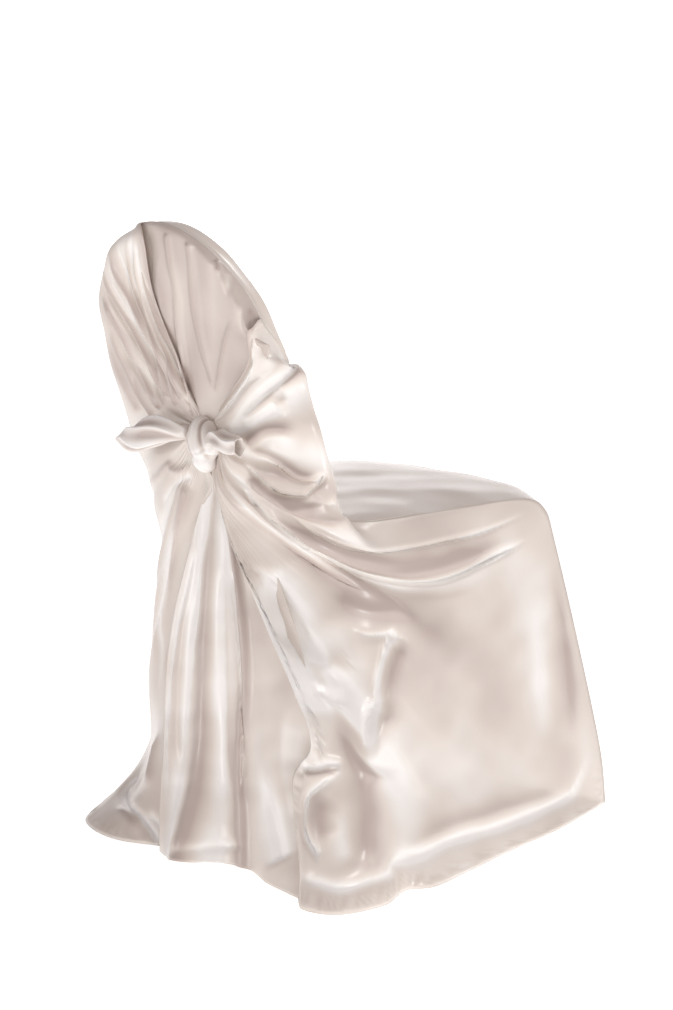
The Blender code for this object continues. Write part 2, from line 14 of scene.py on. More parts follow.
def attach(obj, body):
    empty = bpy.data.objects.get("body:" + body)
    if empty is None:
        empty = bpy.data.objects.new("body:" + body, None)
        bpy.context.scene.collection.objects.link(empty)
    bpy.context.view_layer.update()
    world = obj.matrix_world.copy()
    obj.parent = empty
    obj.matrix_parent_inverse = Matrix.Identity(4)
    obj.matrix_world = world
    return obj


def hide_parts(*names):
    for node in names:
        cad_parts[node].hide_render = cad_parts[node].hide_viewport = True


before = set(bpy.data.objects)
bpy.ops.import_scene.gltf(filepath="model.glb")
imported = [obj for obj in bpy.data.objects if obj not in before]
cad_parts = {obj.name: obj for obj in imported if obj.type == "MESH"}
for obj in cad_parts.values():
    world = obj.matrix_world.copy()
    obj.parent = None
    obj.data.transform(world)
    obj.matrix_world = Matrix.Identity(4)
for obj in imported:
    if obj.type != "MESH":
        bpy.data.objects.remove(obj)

LOG = logging.getLogger("chair_cover")
BODY = "root"

Point = tuple[float, float, float]

# The spot on the floor under the seat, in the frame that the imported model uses
SEAT_SPOT = (-0.016, 0.039)
SEAT_SHIFT = np.array([*SEAT_SPOT, 0.0])
# The cloth's thickness, how far a sewn edge lies under its neighbour, and how far in the hems are stitched
CLOTH = 0.0011
TUCK = 0.0016
HEM_INSET = 0.014
# How far the stitched line lies off the cloth
STITCH_LIFT = 0.0002
TINY = 1e-12


def add_node(tree: bpy.types.NodeTree, kind: str,
             values: dict[str, object] | None = None) -> bpy.types.Node:
    """Add a node to a tree and set its inputs.

    Args:
        tree: The node tree.
        kind: The node's type.
        values: The inputs' names and values.

    Returns:
        The new node.
    """
    node = tree.nodes.new(kind)
    for name, value in (values or {}).items():
        node.inputs[name].default_value = value
    return node


def through(stations: Sequence[float], values: object, wanted: object) -> np.ndarray:
    """Follow a smooth curve through values that stand at stations.

    Args:
        stations: Rising places along the curve.
        values: One row of numbers for each station.
        wanted: The places at which the curve is read.

    Returns:
        One row of numbers for each wanted place.
    """
    stations = np.asarray(stations, float)
    values = np.asarray(values, float)
    wanted = np.atleast_1d(np.asarray(wanted, float))
    slopes = np.gradient(values, stations, axis=0)
    at = np.clip(np.searchsorted(stations, wanted, side="right") - 1, 0, len(stations) - 2)
    span = stations[at + 1] - stations[at]
    shape = (-1,) + (1,) * (values.ndim - 1)
    t = ((wanted - stations[at]) / span).reshape(shape)
    span = span.reshape(shape)
    start = (1 + 2 * t) * (1 - t) ** 2 * values[at] + t * (1 - t) ** 2 * span * slopes[at]
    end = t ** 2 * (3 - 2 * t) * values[at + 1] + t ** 2 * (t - 1) * span * slopes[at + 1]
    return start + end


def ease(low: float, high: float, value: object) -> np.ndarray:
    """Step softly from 0 at low to 1 at high.

    Args:
        low: Where the step begins.
        high: Where it ends.
        value: One number or an array.

    Returns:
        The step's height at each value.
    """
    t = np.clip((np.asarray(value, float) - low) / (high - low), 0.0, 1.0)
    return t * t * (3 - 2 * t)


def grid_faces(rows: int, columns: int) -> np.ndarray:
    """List the four-sided faces of a grid.

    Args:
        rows: Number of rows of points.
        columns: Number of points in a row.

    Returns:
        An array of four corner numbers a face.
    """
    first = (np.arange(rows - 1)[:, None] * columns + np.arange(columns - 1)[None, :]).ravel()
    return np.column_stack([first, first + 1, first + columns + 1, first + columns])


def face_normals_at_points(points: np.ndarray, faces: np.ndarray) -> np.ndarray:
    """Average the normals of the faces round each point.

    Args:
        points: The mesh's points.
        faces: Four corners a face, the last repeated on a triangle.

    Returns:
        One unit normal a point.
    """
    corners = points[faces]
    normal = np.cross(corners[:, 2] - corners[:, 0], corners[:, 3] - corners[:, 1])
    flat = faces[:, 3] == faces[:, 2]
    triangle = np.cross(corners[:, 1] - corners[:, 0], corners[:, 2] - corners[:, 0])
    normal[flat] = triangle[flat]
    total = np.zeros_like(points)
    for corner in range(4):
        np.add.at(total, faces[:, corner], normal)
    return total / np.maximum(np.linalg.norm(total, axis=1), TINY)[:, None]


class Profile(Enum):
    """The section of a crease, across its line."""

    RIDGE = "ridge"
    TROUGH = "trough"
    LAP_UP = "steep towards a higher place or share"
    LAP_DOWN = "steep towards a lower place or share"


@dataclass(frozen=True)
class Crease:
    """A fold whose line is given on a sheet.

    Attributes:
        name: What the fold is.
        path: Pairs of place and share on the sheet, in order along the fold.
        width: Half its width, in metres.
        height: How far it stands out, in metres.
        profile: Its section.
        ends: The part of its length over which each end fades.
    """

    name: str
    path: tuple[tuple[float, float], ...]
    width: float
    height: float
    profile: Profile = Profile.RIDGE
    ends: tuple[float, float] = (0.3, 0.3)
    # How sharp a ridge and a trough are, how steep a lap is, how far a fold reaches and its line's steps
    ridge_power: ClassVar[float] = 1.7
    trough_power: ClassVar[float] = 1.5
    lap: ClassVar[float] = 3.0
    reach: ClassVar[float] = 3.2
    steps: ClassVar[int] = 28

    def section(self, offset: np.ndarray) -> np.ndarray:
        """Return the fold's relative height at signed offsets, which are in half widths."""
        away = np.abs(offset)
        if self.profile is Profile.TROUGH:
            return -np.exp(-away ** self.trough_power)
        if self.profile is Profile.LAP_UP:
            away = np.where(offset > 0, away * self.lap, away)
        if self.profile is Profile.LAP_DOWN:
            away = np.where(offset < 0, away * self.lap, away)
        return np.exp(-away ** self.ridge_power)

    def lift(self, grid: np.ndarray, places: np.ndarray, shares: np.ndarray) -> np.ndarray:
        """Work out how far the fold lifts each point of a sheet.

        Args:
            grid: The sheet's points as rows, one for each place, and columns, one for each share.
            places: The rows' places.
            shares: The columns' shares.

        Returns:
            The lift of each point, in metres.
        """
        steps = self.steps
        ways = np.linspace(0.0, 1.0, len(self.path))
        line = through(ways, self.path, np.linspace(0.0, 1.0, steps))
        rows = np.interp(line[:, 0], places, np.arange(len(places)))
        columns = np.interp(line[:, 1], shares, np.arange(len(shares)))
        low_row = np.clip(rows.astype(int), 0, len(places) - 2)
        low_column = np.clip(columns.astype(int), 0, len(shares) - 2)
        part_row = (rows - low_row)[:, None]
        part_column = (columns - low_column)[:, None]
        nearer = grid[low_row, low_column] * (1 - part_column) + grid[low_row, low_column + 1] * part_column
        further = (grid[low_row + 1, low_column] * (1 - part_column)
                   + grid[low_row + 1, low_column + 1] * part_column)
        curve = nearer * (1 - part_row) + further * part_row
        reach = self.width * self.reach
        flat = grid.reshape(-1, 3)
        near = np.all((flat > curve.min(0) - reach) & (flat < curve.max(0) + reach), axis=1)
        chosen = np.flatnonzero(near)
        best = np.full(len(chosen), np.inf)
        along = np.zeros(len(chosen))
        for number in range(steps - 1):
            start, run = curve[number], curve[number + 1] - curve[number]
            t = np.clip(((flat[chosen] - start) @ run) / max(run @ run, TINY), 0.0, 1.0)
            gap = np.linalg.norm(flat[chosen] - start - t[:, None] * run, axis=1)
            closer = gap < best
            best[closer] = gap[closer]
            along[closer] = (number + t[closer]) / (steps - 1)
        row_numbers, column_numbers = np.divmod(chosen, len(shares))
        line_place = np.interp(along, np.linspace(0.0, 1.0, steps), line[:, 0])
        line_share = np.interp(along, np.linspace(0.0, 1.0, steps), line[:, 1])
        runs_outwards = np.ptp(line[:, 1]) > np.ptp(line[:, 0])
        if runs_outwards:
            sign = np.sign(places[row_numbers] - line_place)
        else:
            sign = np.sign(shares[column_numbers] - line_share)
        fade = ease(0.0, self.ends[0], along) * ease(0.0, self.ends[1], 1.0 - along)
        lift = np.zeros(len(flat))
        lift[chosen] = self.height * fade * self.section(sign * best / self.width)
        return lift.reshape(grid.shape[:2])


@dataclass(frozen=True)
class Satin:
    """A satin finish: its colours, with painted shade in the hollows of its folds and painted highlights
    along their tops, its gloss and weave.

    Attributes:
        name: The material's name.
        deep: Painted shade: the colour given to the cloth down in a fold.
        plain: Its colour where it lies flat.
        bright: Painted highlight: the colour given to the cloth along the top of a fold.
        roughness: Roughness of the cloth.
        gloss: Weight of the narrower gloss over it.
        weave: Threads to the metre along the gloss.
        relief: The heights in a fold at which the painted shade is darkest and the painted highlight
            brightest, in metres.
        streaks: How far the uneven streaks shift the colour either way.
        middle: Where the plain colour stands between the painted shade and the painted highlight.
    """

    name: str
    deep: Point
    plain: Point
    bright: Point
    roughness: float = 0.40
    gloss: float = 0.60
    weave: float = 900.0
    relief: tuple[float, float] = (-0.0052, 0.0044)
    streaks: float = 0.10
    middle: float = 0.54

    def paint_fold_shading(self, tree: bpy.types.NodeTree, slubs: bpy.types.Node) -> bpy.types.NodeSocket:
        """Paint shade into the hollows of the folds and highlights along their tops, by the folds' height,
        with faint uneven streaks.

        Args:
            tree: The material's nodes.
            slubs: The noise that makes the streaks.

        Returns:
            The colour's socket.
        """
        relief = add_node(tree, "ShaderNodeAttribute")
        relief.attribute_name = "relief"
        height = add_node(tree, "ShaderNodeMapRange",
                          {"From Min": self.relief[0], "From Max": self.relief[1]})
        streak = add_node(tree, "ShaderNodeMapRange", {"To Min": -self.streaks, "To Max": self.streaks})
        total = add_node(tree, "ShaderNodeMath")
        ramp = add_node(tree, "ShaderNodeValToRGB")
        stops = ramp.color_ramp.elements
        stops[0].color = (*self.deep, 1.0)
        stops[1].color = (*self.bright, 1.0)
        stops.new(self.middle).color = (*self.plain, 1.0)
        link = tree.links.new
        link(relief.outputs["Fac"], height.inputs["Value"])
        link(slubs.outputs["Fac"], streak.inputs["Value"])
        link(height.outputs["Result"], total.inputs[0])
        link(streak.outputs["Result"], total.inputs[1])
        link(total.outputs["Value"], ramp.inputs["Fac"])
        return ramp.outputs["Color"]

    def build(self) -> bpy.types.Material:
        """Make the material, which reads the sheet's own UV map in metres."""
        material = bpy.data.materials.new(self.name)
        material.use_nodes = True
        tree = material.node_tree
        shader = tree.nodes["Principled BSDF"]
        coordinates = add_node(tree, "ShaderNodeTexCoord")
        stretch = add_node(tree, "ShaderNodeMapping", {"Scale": (self.weave, self.weave / 14.0, 1.0)})
        threads = add_node(tree, "ShaderNodeTexNoise", {"Scale": 1.0, "Detail": 3.0, "Roughness": 0.6})
        slubs = add_node(tree, "ShaderNodeTexNoise", {"Scale": 14.0, "Detail": 4.0})
        gloss = add_node(tree, "ShaderNodeMapRange",
                         {"To Min": self.roughness - 0.03, "To Max": self.roughness + 0.05})
        bump = add_node(tree, "ShaderNodeBump", {"Strength": 0.10, "Distance": 0.0003})
        link = tree.links.new
        link(coordinates.outputs["UV"], stretch.inputs["Vector"])
        link(stretch.outputs["Vector"], threads.inputs["Vector"])
        link(coordinates.outputs["Object"], slubs.inputs["Vector"])
        # Base colour: the plain colour with painted shade in fold hollows and painted highlights on fold
        # tops
        link(self.paint_fold_shading(tree, slubs), shader.inputs["Base Color"])
        link(threads.outputs["Fac"], gloss.inputs["Value"])
        link(gloss.outputs["Result"], shader.inputs["Roughness"])
        link(threads.outputs["Fac"], bump.inputs["Height"])
        link(bump.outputs["Normal"], shader.inputs["Normal"])
        sheen = {"Coat Weight": self.gloss, "Coat Roughness": 0.21, "Anisotropic": 0.35,
                 "Specular IOR Level": 0.7}
        for name, value in sheen.items():
            shader.inputs[name].default_value = value
        return material


def make_piece(name: str, points: np.ndarray, faces: np.ndarray, uv: np.ndarray,
               material: bpy.types.Material, relief: np.ndarray | None = None) -> bpy.types.Object:
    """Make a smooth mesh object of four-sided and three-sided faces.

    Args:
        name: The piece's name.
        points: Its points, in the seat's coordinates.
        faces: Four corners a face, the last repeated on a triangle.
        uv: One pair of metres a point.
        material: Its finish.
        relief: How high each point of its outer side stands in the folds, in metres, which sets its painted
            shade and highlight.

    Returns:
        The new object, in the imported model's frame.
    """
    moved = points + SEAT_SHIFT
    rings = [tuple(face[:3]) if face[2] == face[3] else tuple(face) for face in faces.tolist()]
    mesh = bpy.data.meshes.new(name)
    mesh.from_pydata(moved.tolist(), [], rings)
    mesh.update()
    layer = mesh.uv_layers.new(name="UVMap")
    corner_points = np.zeros(len(mesh.loops), np.int32)
    mesh.loops.foreach_get("vertex_index", corner_points)
    layer.data.foreach_set("uv", uv[corner_points].astype(np.float32).ravel())
    # The fold heights drive the material's painted shade and highlight
    heights = np.zeros(1) if relief is None else relief.ravel()
    attribute = mesh.attributes.new("relief", "FLOAT", "POINT")
    attribute.data.foreach_set("value", np.resize(heights, len(points)).astype(np.float32))
    mesh.shade_smooth()
    mesh.materials.append(material)
    piece = bpy.data.objects.new(name, mesh)
    bpy.context.scene.collection.objects.link(piece)
    LOG.info("%s: %d points", name, len(mesh.vertices))
    return piece


def thicken(points: np.ndarray, faces: np.ndarray, uv: np.ndarray,
            thickness: float = CLOTH) -> tuple[np.ndarray, np.ndarray, np.ndarray]:
    """Give an open sheet its thickness, inwards, and close its rim.

    Args:
        points: The outer side's points.
        faces: The outer side's faces, facing out.
        uv: One pair of metres a point.
        thickness: The cloth's thickness in metres.

    Returns:
        Points, faces and UV of the closed sheet.
    """
    normals = face_normals_at_points(points, faces)
    inner = points - normals * thickness
    outer = points.copy()
    outer[:, 2] = np.maximum(outer[:, 2], 0.0)
    inner[:, 2] = np.maximum(inner[:, 2], 0.0)
    count = len(points)
    starts = faces.ravel()
    ends = np.roll(faces, -1, axis=1).ravel()
    real = starts != ends
    starts, ends = starts[real].astype(np.int64), ends[real].astype(np.int64)
    forward = starts * count + ends
    backward = ends * count + starts
    border = ~np.isin(forward, backward)
    starts, ends = starts[border], ends[border]
    rim = np.column_stack([ends, starts, starts + count, ends + count])
    inside = faces[:, ::-1] + count
    flat = faces[:, 2] == faces[:, 3]
    inside[flat] = np.column_stack([faces[flat, 2], faces[flat, 1], faces[flat, 0], faces[flat, 0]]) + count
    return (np.concatenate([outer, inner]), np.concatenate([faces, inside, rim]),
            np.concatenate([uv, uv]))


def metres_along(grid: np.ndarray) -> np.ndarray:
    """Measure UV coordinates in metres along a grid's two ways.

    Args:
        grid: Points as rows and columns.

    Returns:
        One pair a point.
    """
    down = np.linalg.norm(np.diff(grid, axis=0), axis=2)
    over = np.linalg.norm(np.diff(grid, axis=1), axis=2)
    first = np.zeros(grid.shape[:2])
    second = np.zeros(grid.shape[:2])
    first[1:] = np.cumsum(down.mean(axis=1))[:, None]
    second[:, 1:] = np.cumsum(over, axis=1)
    return np.stack([first, second], axis=2).reshape(-1, 2)


@dataclass(frozen=True)
class Drape:
    """A ray of a wing: the points that it passes on its way from the knot to the wing's edge.

    Attributes:
        name: What the ray is.
        place: Where it stands on the wing, from its inner edge at 0 to its free edge at 1.
        near: The point that it passes near the knot.
        half: The point that it passes half way.
        far: The point that it passes near the wing's edge.
    """

    name: str
    place: float
    near: Point
    half: Point
    far: Point


@dataclass(frozen=True)
class Fold:
    """A broad fold that runs out from the knot between two rays.

    Attributes:
        name: What the fold is.
        place: Its place on the wing at the knot.
        end_place: Its place at the wing's edge.
        width: Half its width, measured in places.
        start: The share of the way out at which it begins.
        end: The share at which it ends.
        height: How far it stands out, in metres.
    """

    name: str
    place: float
    end_place: float
    width: float
    start: float
    end: float
    height: float


@dataclass(frozen=True)
class Hood:
    """The hood over the chair's back, whose rim is what the other sheets are sewn to.

    Attributes:
        centre: Where its middle stands from side to side, in metres.
        half_width: Half its width.
        depth: The depth of its boxed rim.
        foot: The height at which it meets the seat.
        spring: The height at which its round top begins.
        rise: How far the top rises from there.
        lean: How far it leans back for each metre of height.
        rear_at_floor: Where the line of its rear would meet the floor.
        edge_round: How far the edges of the rim are rounded off.
        front_swell: How far the middle of its front stands out.
        crown_share: The share of each half of its outline that the round top takes.
        welt: How far across the rim the front piece begins, as a share of the rim.
        welt_low: The same towards the right wing.
        left_wing: The places on the outline between which the left wing comes to cover the rim.
        right_wing: The same of the right wing.
    """

    centre: float = -0.027
    half_width: float = 0.187
    depth: float = 0.045
    foot: float = 0.486
    spring: float = 0.70
    rise: float = 0.205
    lean: float = 0.26
    rear_at_floor: float = -0.0804
    edge_round: float = 0.007
    front_swell: float = 0.006
    crown_share: float = 0.6
    welt: float = 0.20
    welt_low: float = 0.42
    left_wing: tuple[float, float] = (-0.06, -0.24)
    right_wing: tuple[float, float] = (0.45, 0.58)

    def rear(self, height: object) -> np.ndarray:
        """Return how far back the rear of the hood lies at a height."""
        return self.rear_at_floor - self.lean * np.asarray(height, float)

    def start(self, ways: np.ndarray) -> np.ndarray:
        """Return how far across the rim the front piece begins at each way along the outline."""
        left = ease(-self.left_wing[0], -self.left_wing[1], -ways)
        right = ease(self.right_wing[0], self.right_wing[1], ways)
        welt = self.welt + (self.welt_low - self.welt) * ease(0.1, self.right_wing[0], ways)
        return welt + (1.0 - welt) * np.where(ways < 0, left, right)

    def points(self, ways: object, across: object) -> np.ndarray:
        """Place points on the hood.

        Args:
            ways: Places along the outline, from the left foot at -1 over the top at 0 to 1.
            across: 0 at the rear edge, 1 at the front edge and 2 at the middle of the front.

        Returns:
            The points, in the shape in which the two arguments combine.
        """
        ways, across = np.broadcast_arrays(np.asarray(ways, float), np.asarray(across, float))
        side = np.where(ways < 0, -1.0, 1.0)
        share = np.abs(ways)
        angle = math.radians(90.0) * np.minimum(share, self.crown_share) / self.crown_share
        drop = np.maximum(share - self.crown_share, 0.0) / (1.0 - self.crown_share)
        x = self.centre + side * self.half_width * np.sin(angle)
        z = self.spring + self.rise * np.cos(angle) + drop * (self.foot - self.spring)
        focus = np.minimum(z, self.spring)
        rim = across <= 1.0
        rounding = self.edge_round * np.abs(2 * across - 1) ** 4
        on_rim = 1.0 - rounding / self.half_width
        on_front = (2.0 - across) * (1.0 - self.edge_round / self.half_width)
        reach = np.where(rim, on_rim, on_front)
        outline_height = z
        x = self.centre + (x - self.centre) * reach
        z = focus + (z - focus) * reach
        swell = self.front_swell * (1.0 - reach ** 2) * ease(self.foot, self.spring, z)
        on_rim_y = self.rear(outline_height) + self.depth * across
        y = np.where(rim, on_rim_y, self.rear(z) + self.depth + swell)
        return np.stack([x, y, z], axis=-1)


@dataclass(frozen=True)
class Steps:
    """How finely the sheets are divided; each is a step of the plain solids, split further.

    Attributes:
        split: How many parts each step is split into.
        hood_side: Steps up the hood's left side.
        hood_foot: How many of them lie below its round top.
        right_fewer: How many steps fewer its right side has.
        hood_top: Steps over the top, between the two wings.
        seat: Steps along the seat.
        skirt: Steps down the skirt.
        floor: Steps along each wing's hem.
    """

    split: int = 7
    hood_side: int = 18
    hood_foot: int = 8
    right_fewer: int = 3
    hood_top: int = 16
    seat: int = 9
    skirt: int = 9
    floor: int = 14

    def hood_ways(self) -> np.ndarray:
        """Return the places along the hood's outline at which its sheet has its points."""
        crown = Hood.crown_share
        shoulder = self.hood_side - self.hood_foot
        foot = np.linspace(crown, 1.0, self.hood_foot * self.split + 1)
        left = np.linspace(-crown, Hood.left_wing[0], shoulder * self.split + 1)
        top = np.linspace(Hood.left_wing[0], Hood.right_wing[0], self.hood_top * self.split + 1)
        right = np.linspace(Hood.right_wing[0], crown, (shoulder - self.right_fewer) * self.split + 1)
        return np.concatenate([-foot[::-1], left[1:-1], top, right[1:-1], foot])


@dataclass
class Sheet:
    """A sheet as a grid of points over named places, before it gets its thickness.

    Attributes:
        grid: Its points as rows and columns.
        places: The rows' places.
        shares: The columns' shares.
        flipped: Whether its faces are turned round to face out.
        relief: How far each point has been raised so far, which later sets its painted shade and highlight.
    """

    grid: np.ndarray
    places: np.ndarray
    shares: np.ndarray
    flipped: bool = False
    relief: np.ndarray | None = None

    def faces(self) -> np.ndarray:
        """Return the grid's faces, facing out."""
        faces = grid_faces(*self.grid.shape[:2])
        return faces[:, ::-1] if self.flipped else faces

    def normals(self) -> np.ndarray:
        """Return one unit normal a point, as a grid."""
        flat = self.grid.reshape(-1, 3)
        return face_normals_at_points(flat, self.faces()).reshape(self.grid.shape)

    def raise_by(self, lift: np.ndarray) -> None:
        """Move each point out along its normal by its lift, and keep count of it for the painted shade and
        highlight.
        """
        self.grid = self.grid + self.normals() * lift[:, :, None]
        self.relief = lift if self.relief is None else self.relief + lift

    def crease(self, creases: Sequence[Crease], freedom: np.ndarray) -> None:
        """Work the given folds into the sheet, all on its present shape.

        Args:
            creases: The folds.
            freedom: How free each point is, from 0 at a seam to 1.
        """
        lift = np.zeros(self.grid.shape[:2])
        for crease in creases:
            lift += crease.lift(self.grid, self.places, self.shares)
        self.raise_by(lift * freedom)


def distance_from_end(grid: np.ndarray, axis: int) -> np.ndarray:
    """Measure how far each point lies from the grid's last row or column.

    Args:
        grid: Points as rows and columns.
        axis: 0 to measure from the last row, 1 from the last column.

    Returns:
        The distances in metres, as a grid.
    """
    steps = np.linalg.norm(np.diff(grid, axis=axis), axis=2)
    away = np.zeros(grid.shape[:2])
    if axis == 0:
        away[:-1] = np.cumsum(steps[::-1], axis=0)[::-1]
    else:
        away[:, :-1] = np.cumsum(steps[:, ::-1], axis=1)[:, ::-1]
    return away


def inset_line(grid: np.ndarray, normals: np.ndarray, axis: int, inset: float) -> np.ndarray:
    """Find the line that runs inside a sheet's edge, just on its outer side.

    Args:
        grid: Points as rows and columns.
        normals: Their normals.
        axis: 0 for the edge along the last row, 1 for that along the last column.
        inset: How far inside the edge the line runs, in metres.

    Returns:
        The line's points.
    """
    away = distance_from_end(grid, axis)
    lifted = grid + normals * STITCH_LIFT
    if axis == 0:
        chosen = np.argmax(away <= inset, axis=0)
        return lifted[chosen, np.arange(grid.shape[1])]
    chosen = np.argmax(away <= inset, axis=1)
    return lifted[np.arange(grid.shape[0]), chosen]


def unevenness(grid: np.ndarray, seed: int, size: float, height: float, waves: int = 14) -> np.ndarray:
    """Make the soft, slightly irregular surface that hanging cloth has.

    Args:
        grid: Points as rows and columns.
        seed: Which of the many patterns is wanted.
        size: About how far apart its crests are, in metres.
        height: About how high they are, in metres.
        waves: How many waves are laid over each other.

    Returns:
        The lift of each point, in metres.
    """
    chance = np.random.default_rng(seed)
    total = np.zeros(grid.shape[:2])
    for _ in range(waves):
        way = chance.normal(size=3)
        way /= np.linalg.norm(way)
        turns = 2 * math.pi / (size * chance.uniform(0.7, 1.6))
        total += np.sin(grid @ way * turns + chance.uniform(0, 2 * math.pi))
    return total * height / math.sqrt(waves / 2)


def dents(points: np.ndarray, seeds: tuple[int, int], broad: tuple[float, float],
          narrow: tuple[float, float]) -> np.ndarray:
    """Add up the broad and the narrow dents of a piece of cloth.

    Args:
        points: A grid of points.
        seeds: Which of the many patterns is wanted, for the broad dents and for the narrow ones.
        broad: How broad the broad dents are and how deep, in metres.
        narrow: The same of the narrow dents.

    Returns:
        The height at each point.
    """
    return unevenness(points, seeds[0], *broad) + unevenness(points, seeds[1], *narrow)


def weld(grids: Sequence[Sheet]) -> tuple[np.ndarray, np.ndarray, np.ndarray, list[np.ndarray]]:
    """Join sheets where their points agree.

    Args:
        grids: The sheets.

    Returns:
        The points, the faces, the UV pairs, and each sheet's numbering of the points.
    """
    points = np.concatenate([sheet.grid.reshape(-1, 3) for sheet in grids])
    uv = np.concatenate([metres_along(sheet.grid) for sheet in grids])
    faces, start = [], 0
    for sheet in grids:
        faces.append(sheet.faces() + start)
        start += sheet.grid.shape[0] * sheet.grid.shape[1]
    _, first, number = np.unique(np.round(points, 6), axis=0, return_index=True, return_inverse=True)
    number = number.ravel()
    faces = number[np.concatenate(faces)]
    tidy = []
    for shift in range(4):
        turned = np.roll(faces, shift, axis=1)
        same = turned[:, 2] == turned[:, 3]
        whole = np.all(turned[:, [0, 1, 3]] != turned[:, [1, 2, 0]], axis=1)
        tidy.append(turned[same & whole])
    plain = np.all(faces != np.roll(faces, 1, axis=1), axis=1)
    tidy.append(faces[plain])
    numbers, start = [], 0
    for sheet in grids:
        count = sheet.grid.shape[0] * sheet.grid.shape[1]
        numbers.append(number[start:start + count].reshape(sheet.grid.shape[:2]))
        start += count
    return points[first], np.concatenate(tidy), uv[first], numbers


CENTRE_ROWS = (
    # name, middle, edge, middle_height, edge_height, half_width, centre
    ("foot of the hood", -0.1617, -0.1617, 0.486, 0.486, 0.187, -0.027),
    ("seat, rear", -0.120, -0.118, 0.487, 0.480, 0.214, -0.012),
    ("seat, middle", 0.040, 0.040, 0.489, 0.478, 0.226, -0.008),
    ("seat, front", 0.215, 0.172, 0.484, 0.474, 0.228, -0.006),
    ("front edge", 0.264, 0.212, 0.462, 0.456, 0.236, -0.005),
    ("skirt, top", 0.276, 0.226, 0.400, 0.400, 0.246, -0.005),
    ("skirt, middle", 0.290, 0.243, 0.240, 0.240, 0.281, -0.005),
    ("skirt, low", 0.297, 0.256, 0.090, 0.090, 0.312, -0.005),
    ("hem", 0.300, 0.262, 0.0, 0.0, 0.322, -0.005),
)
FRONT_EDGE_ROW = 4


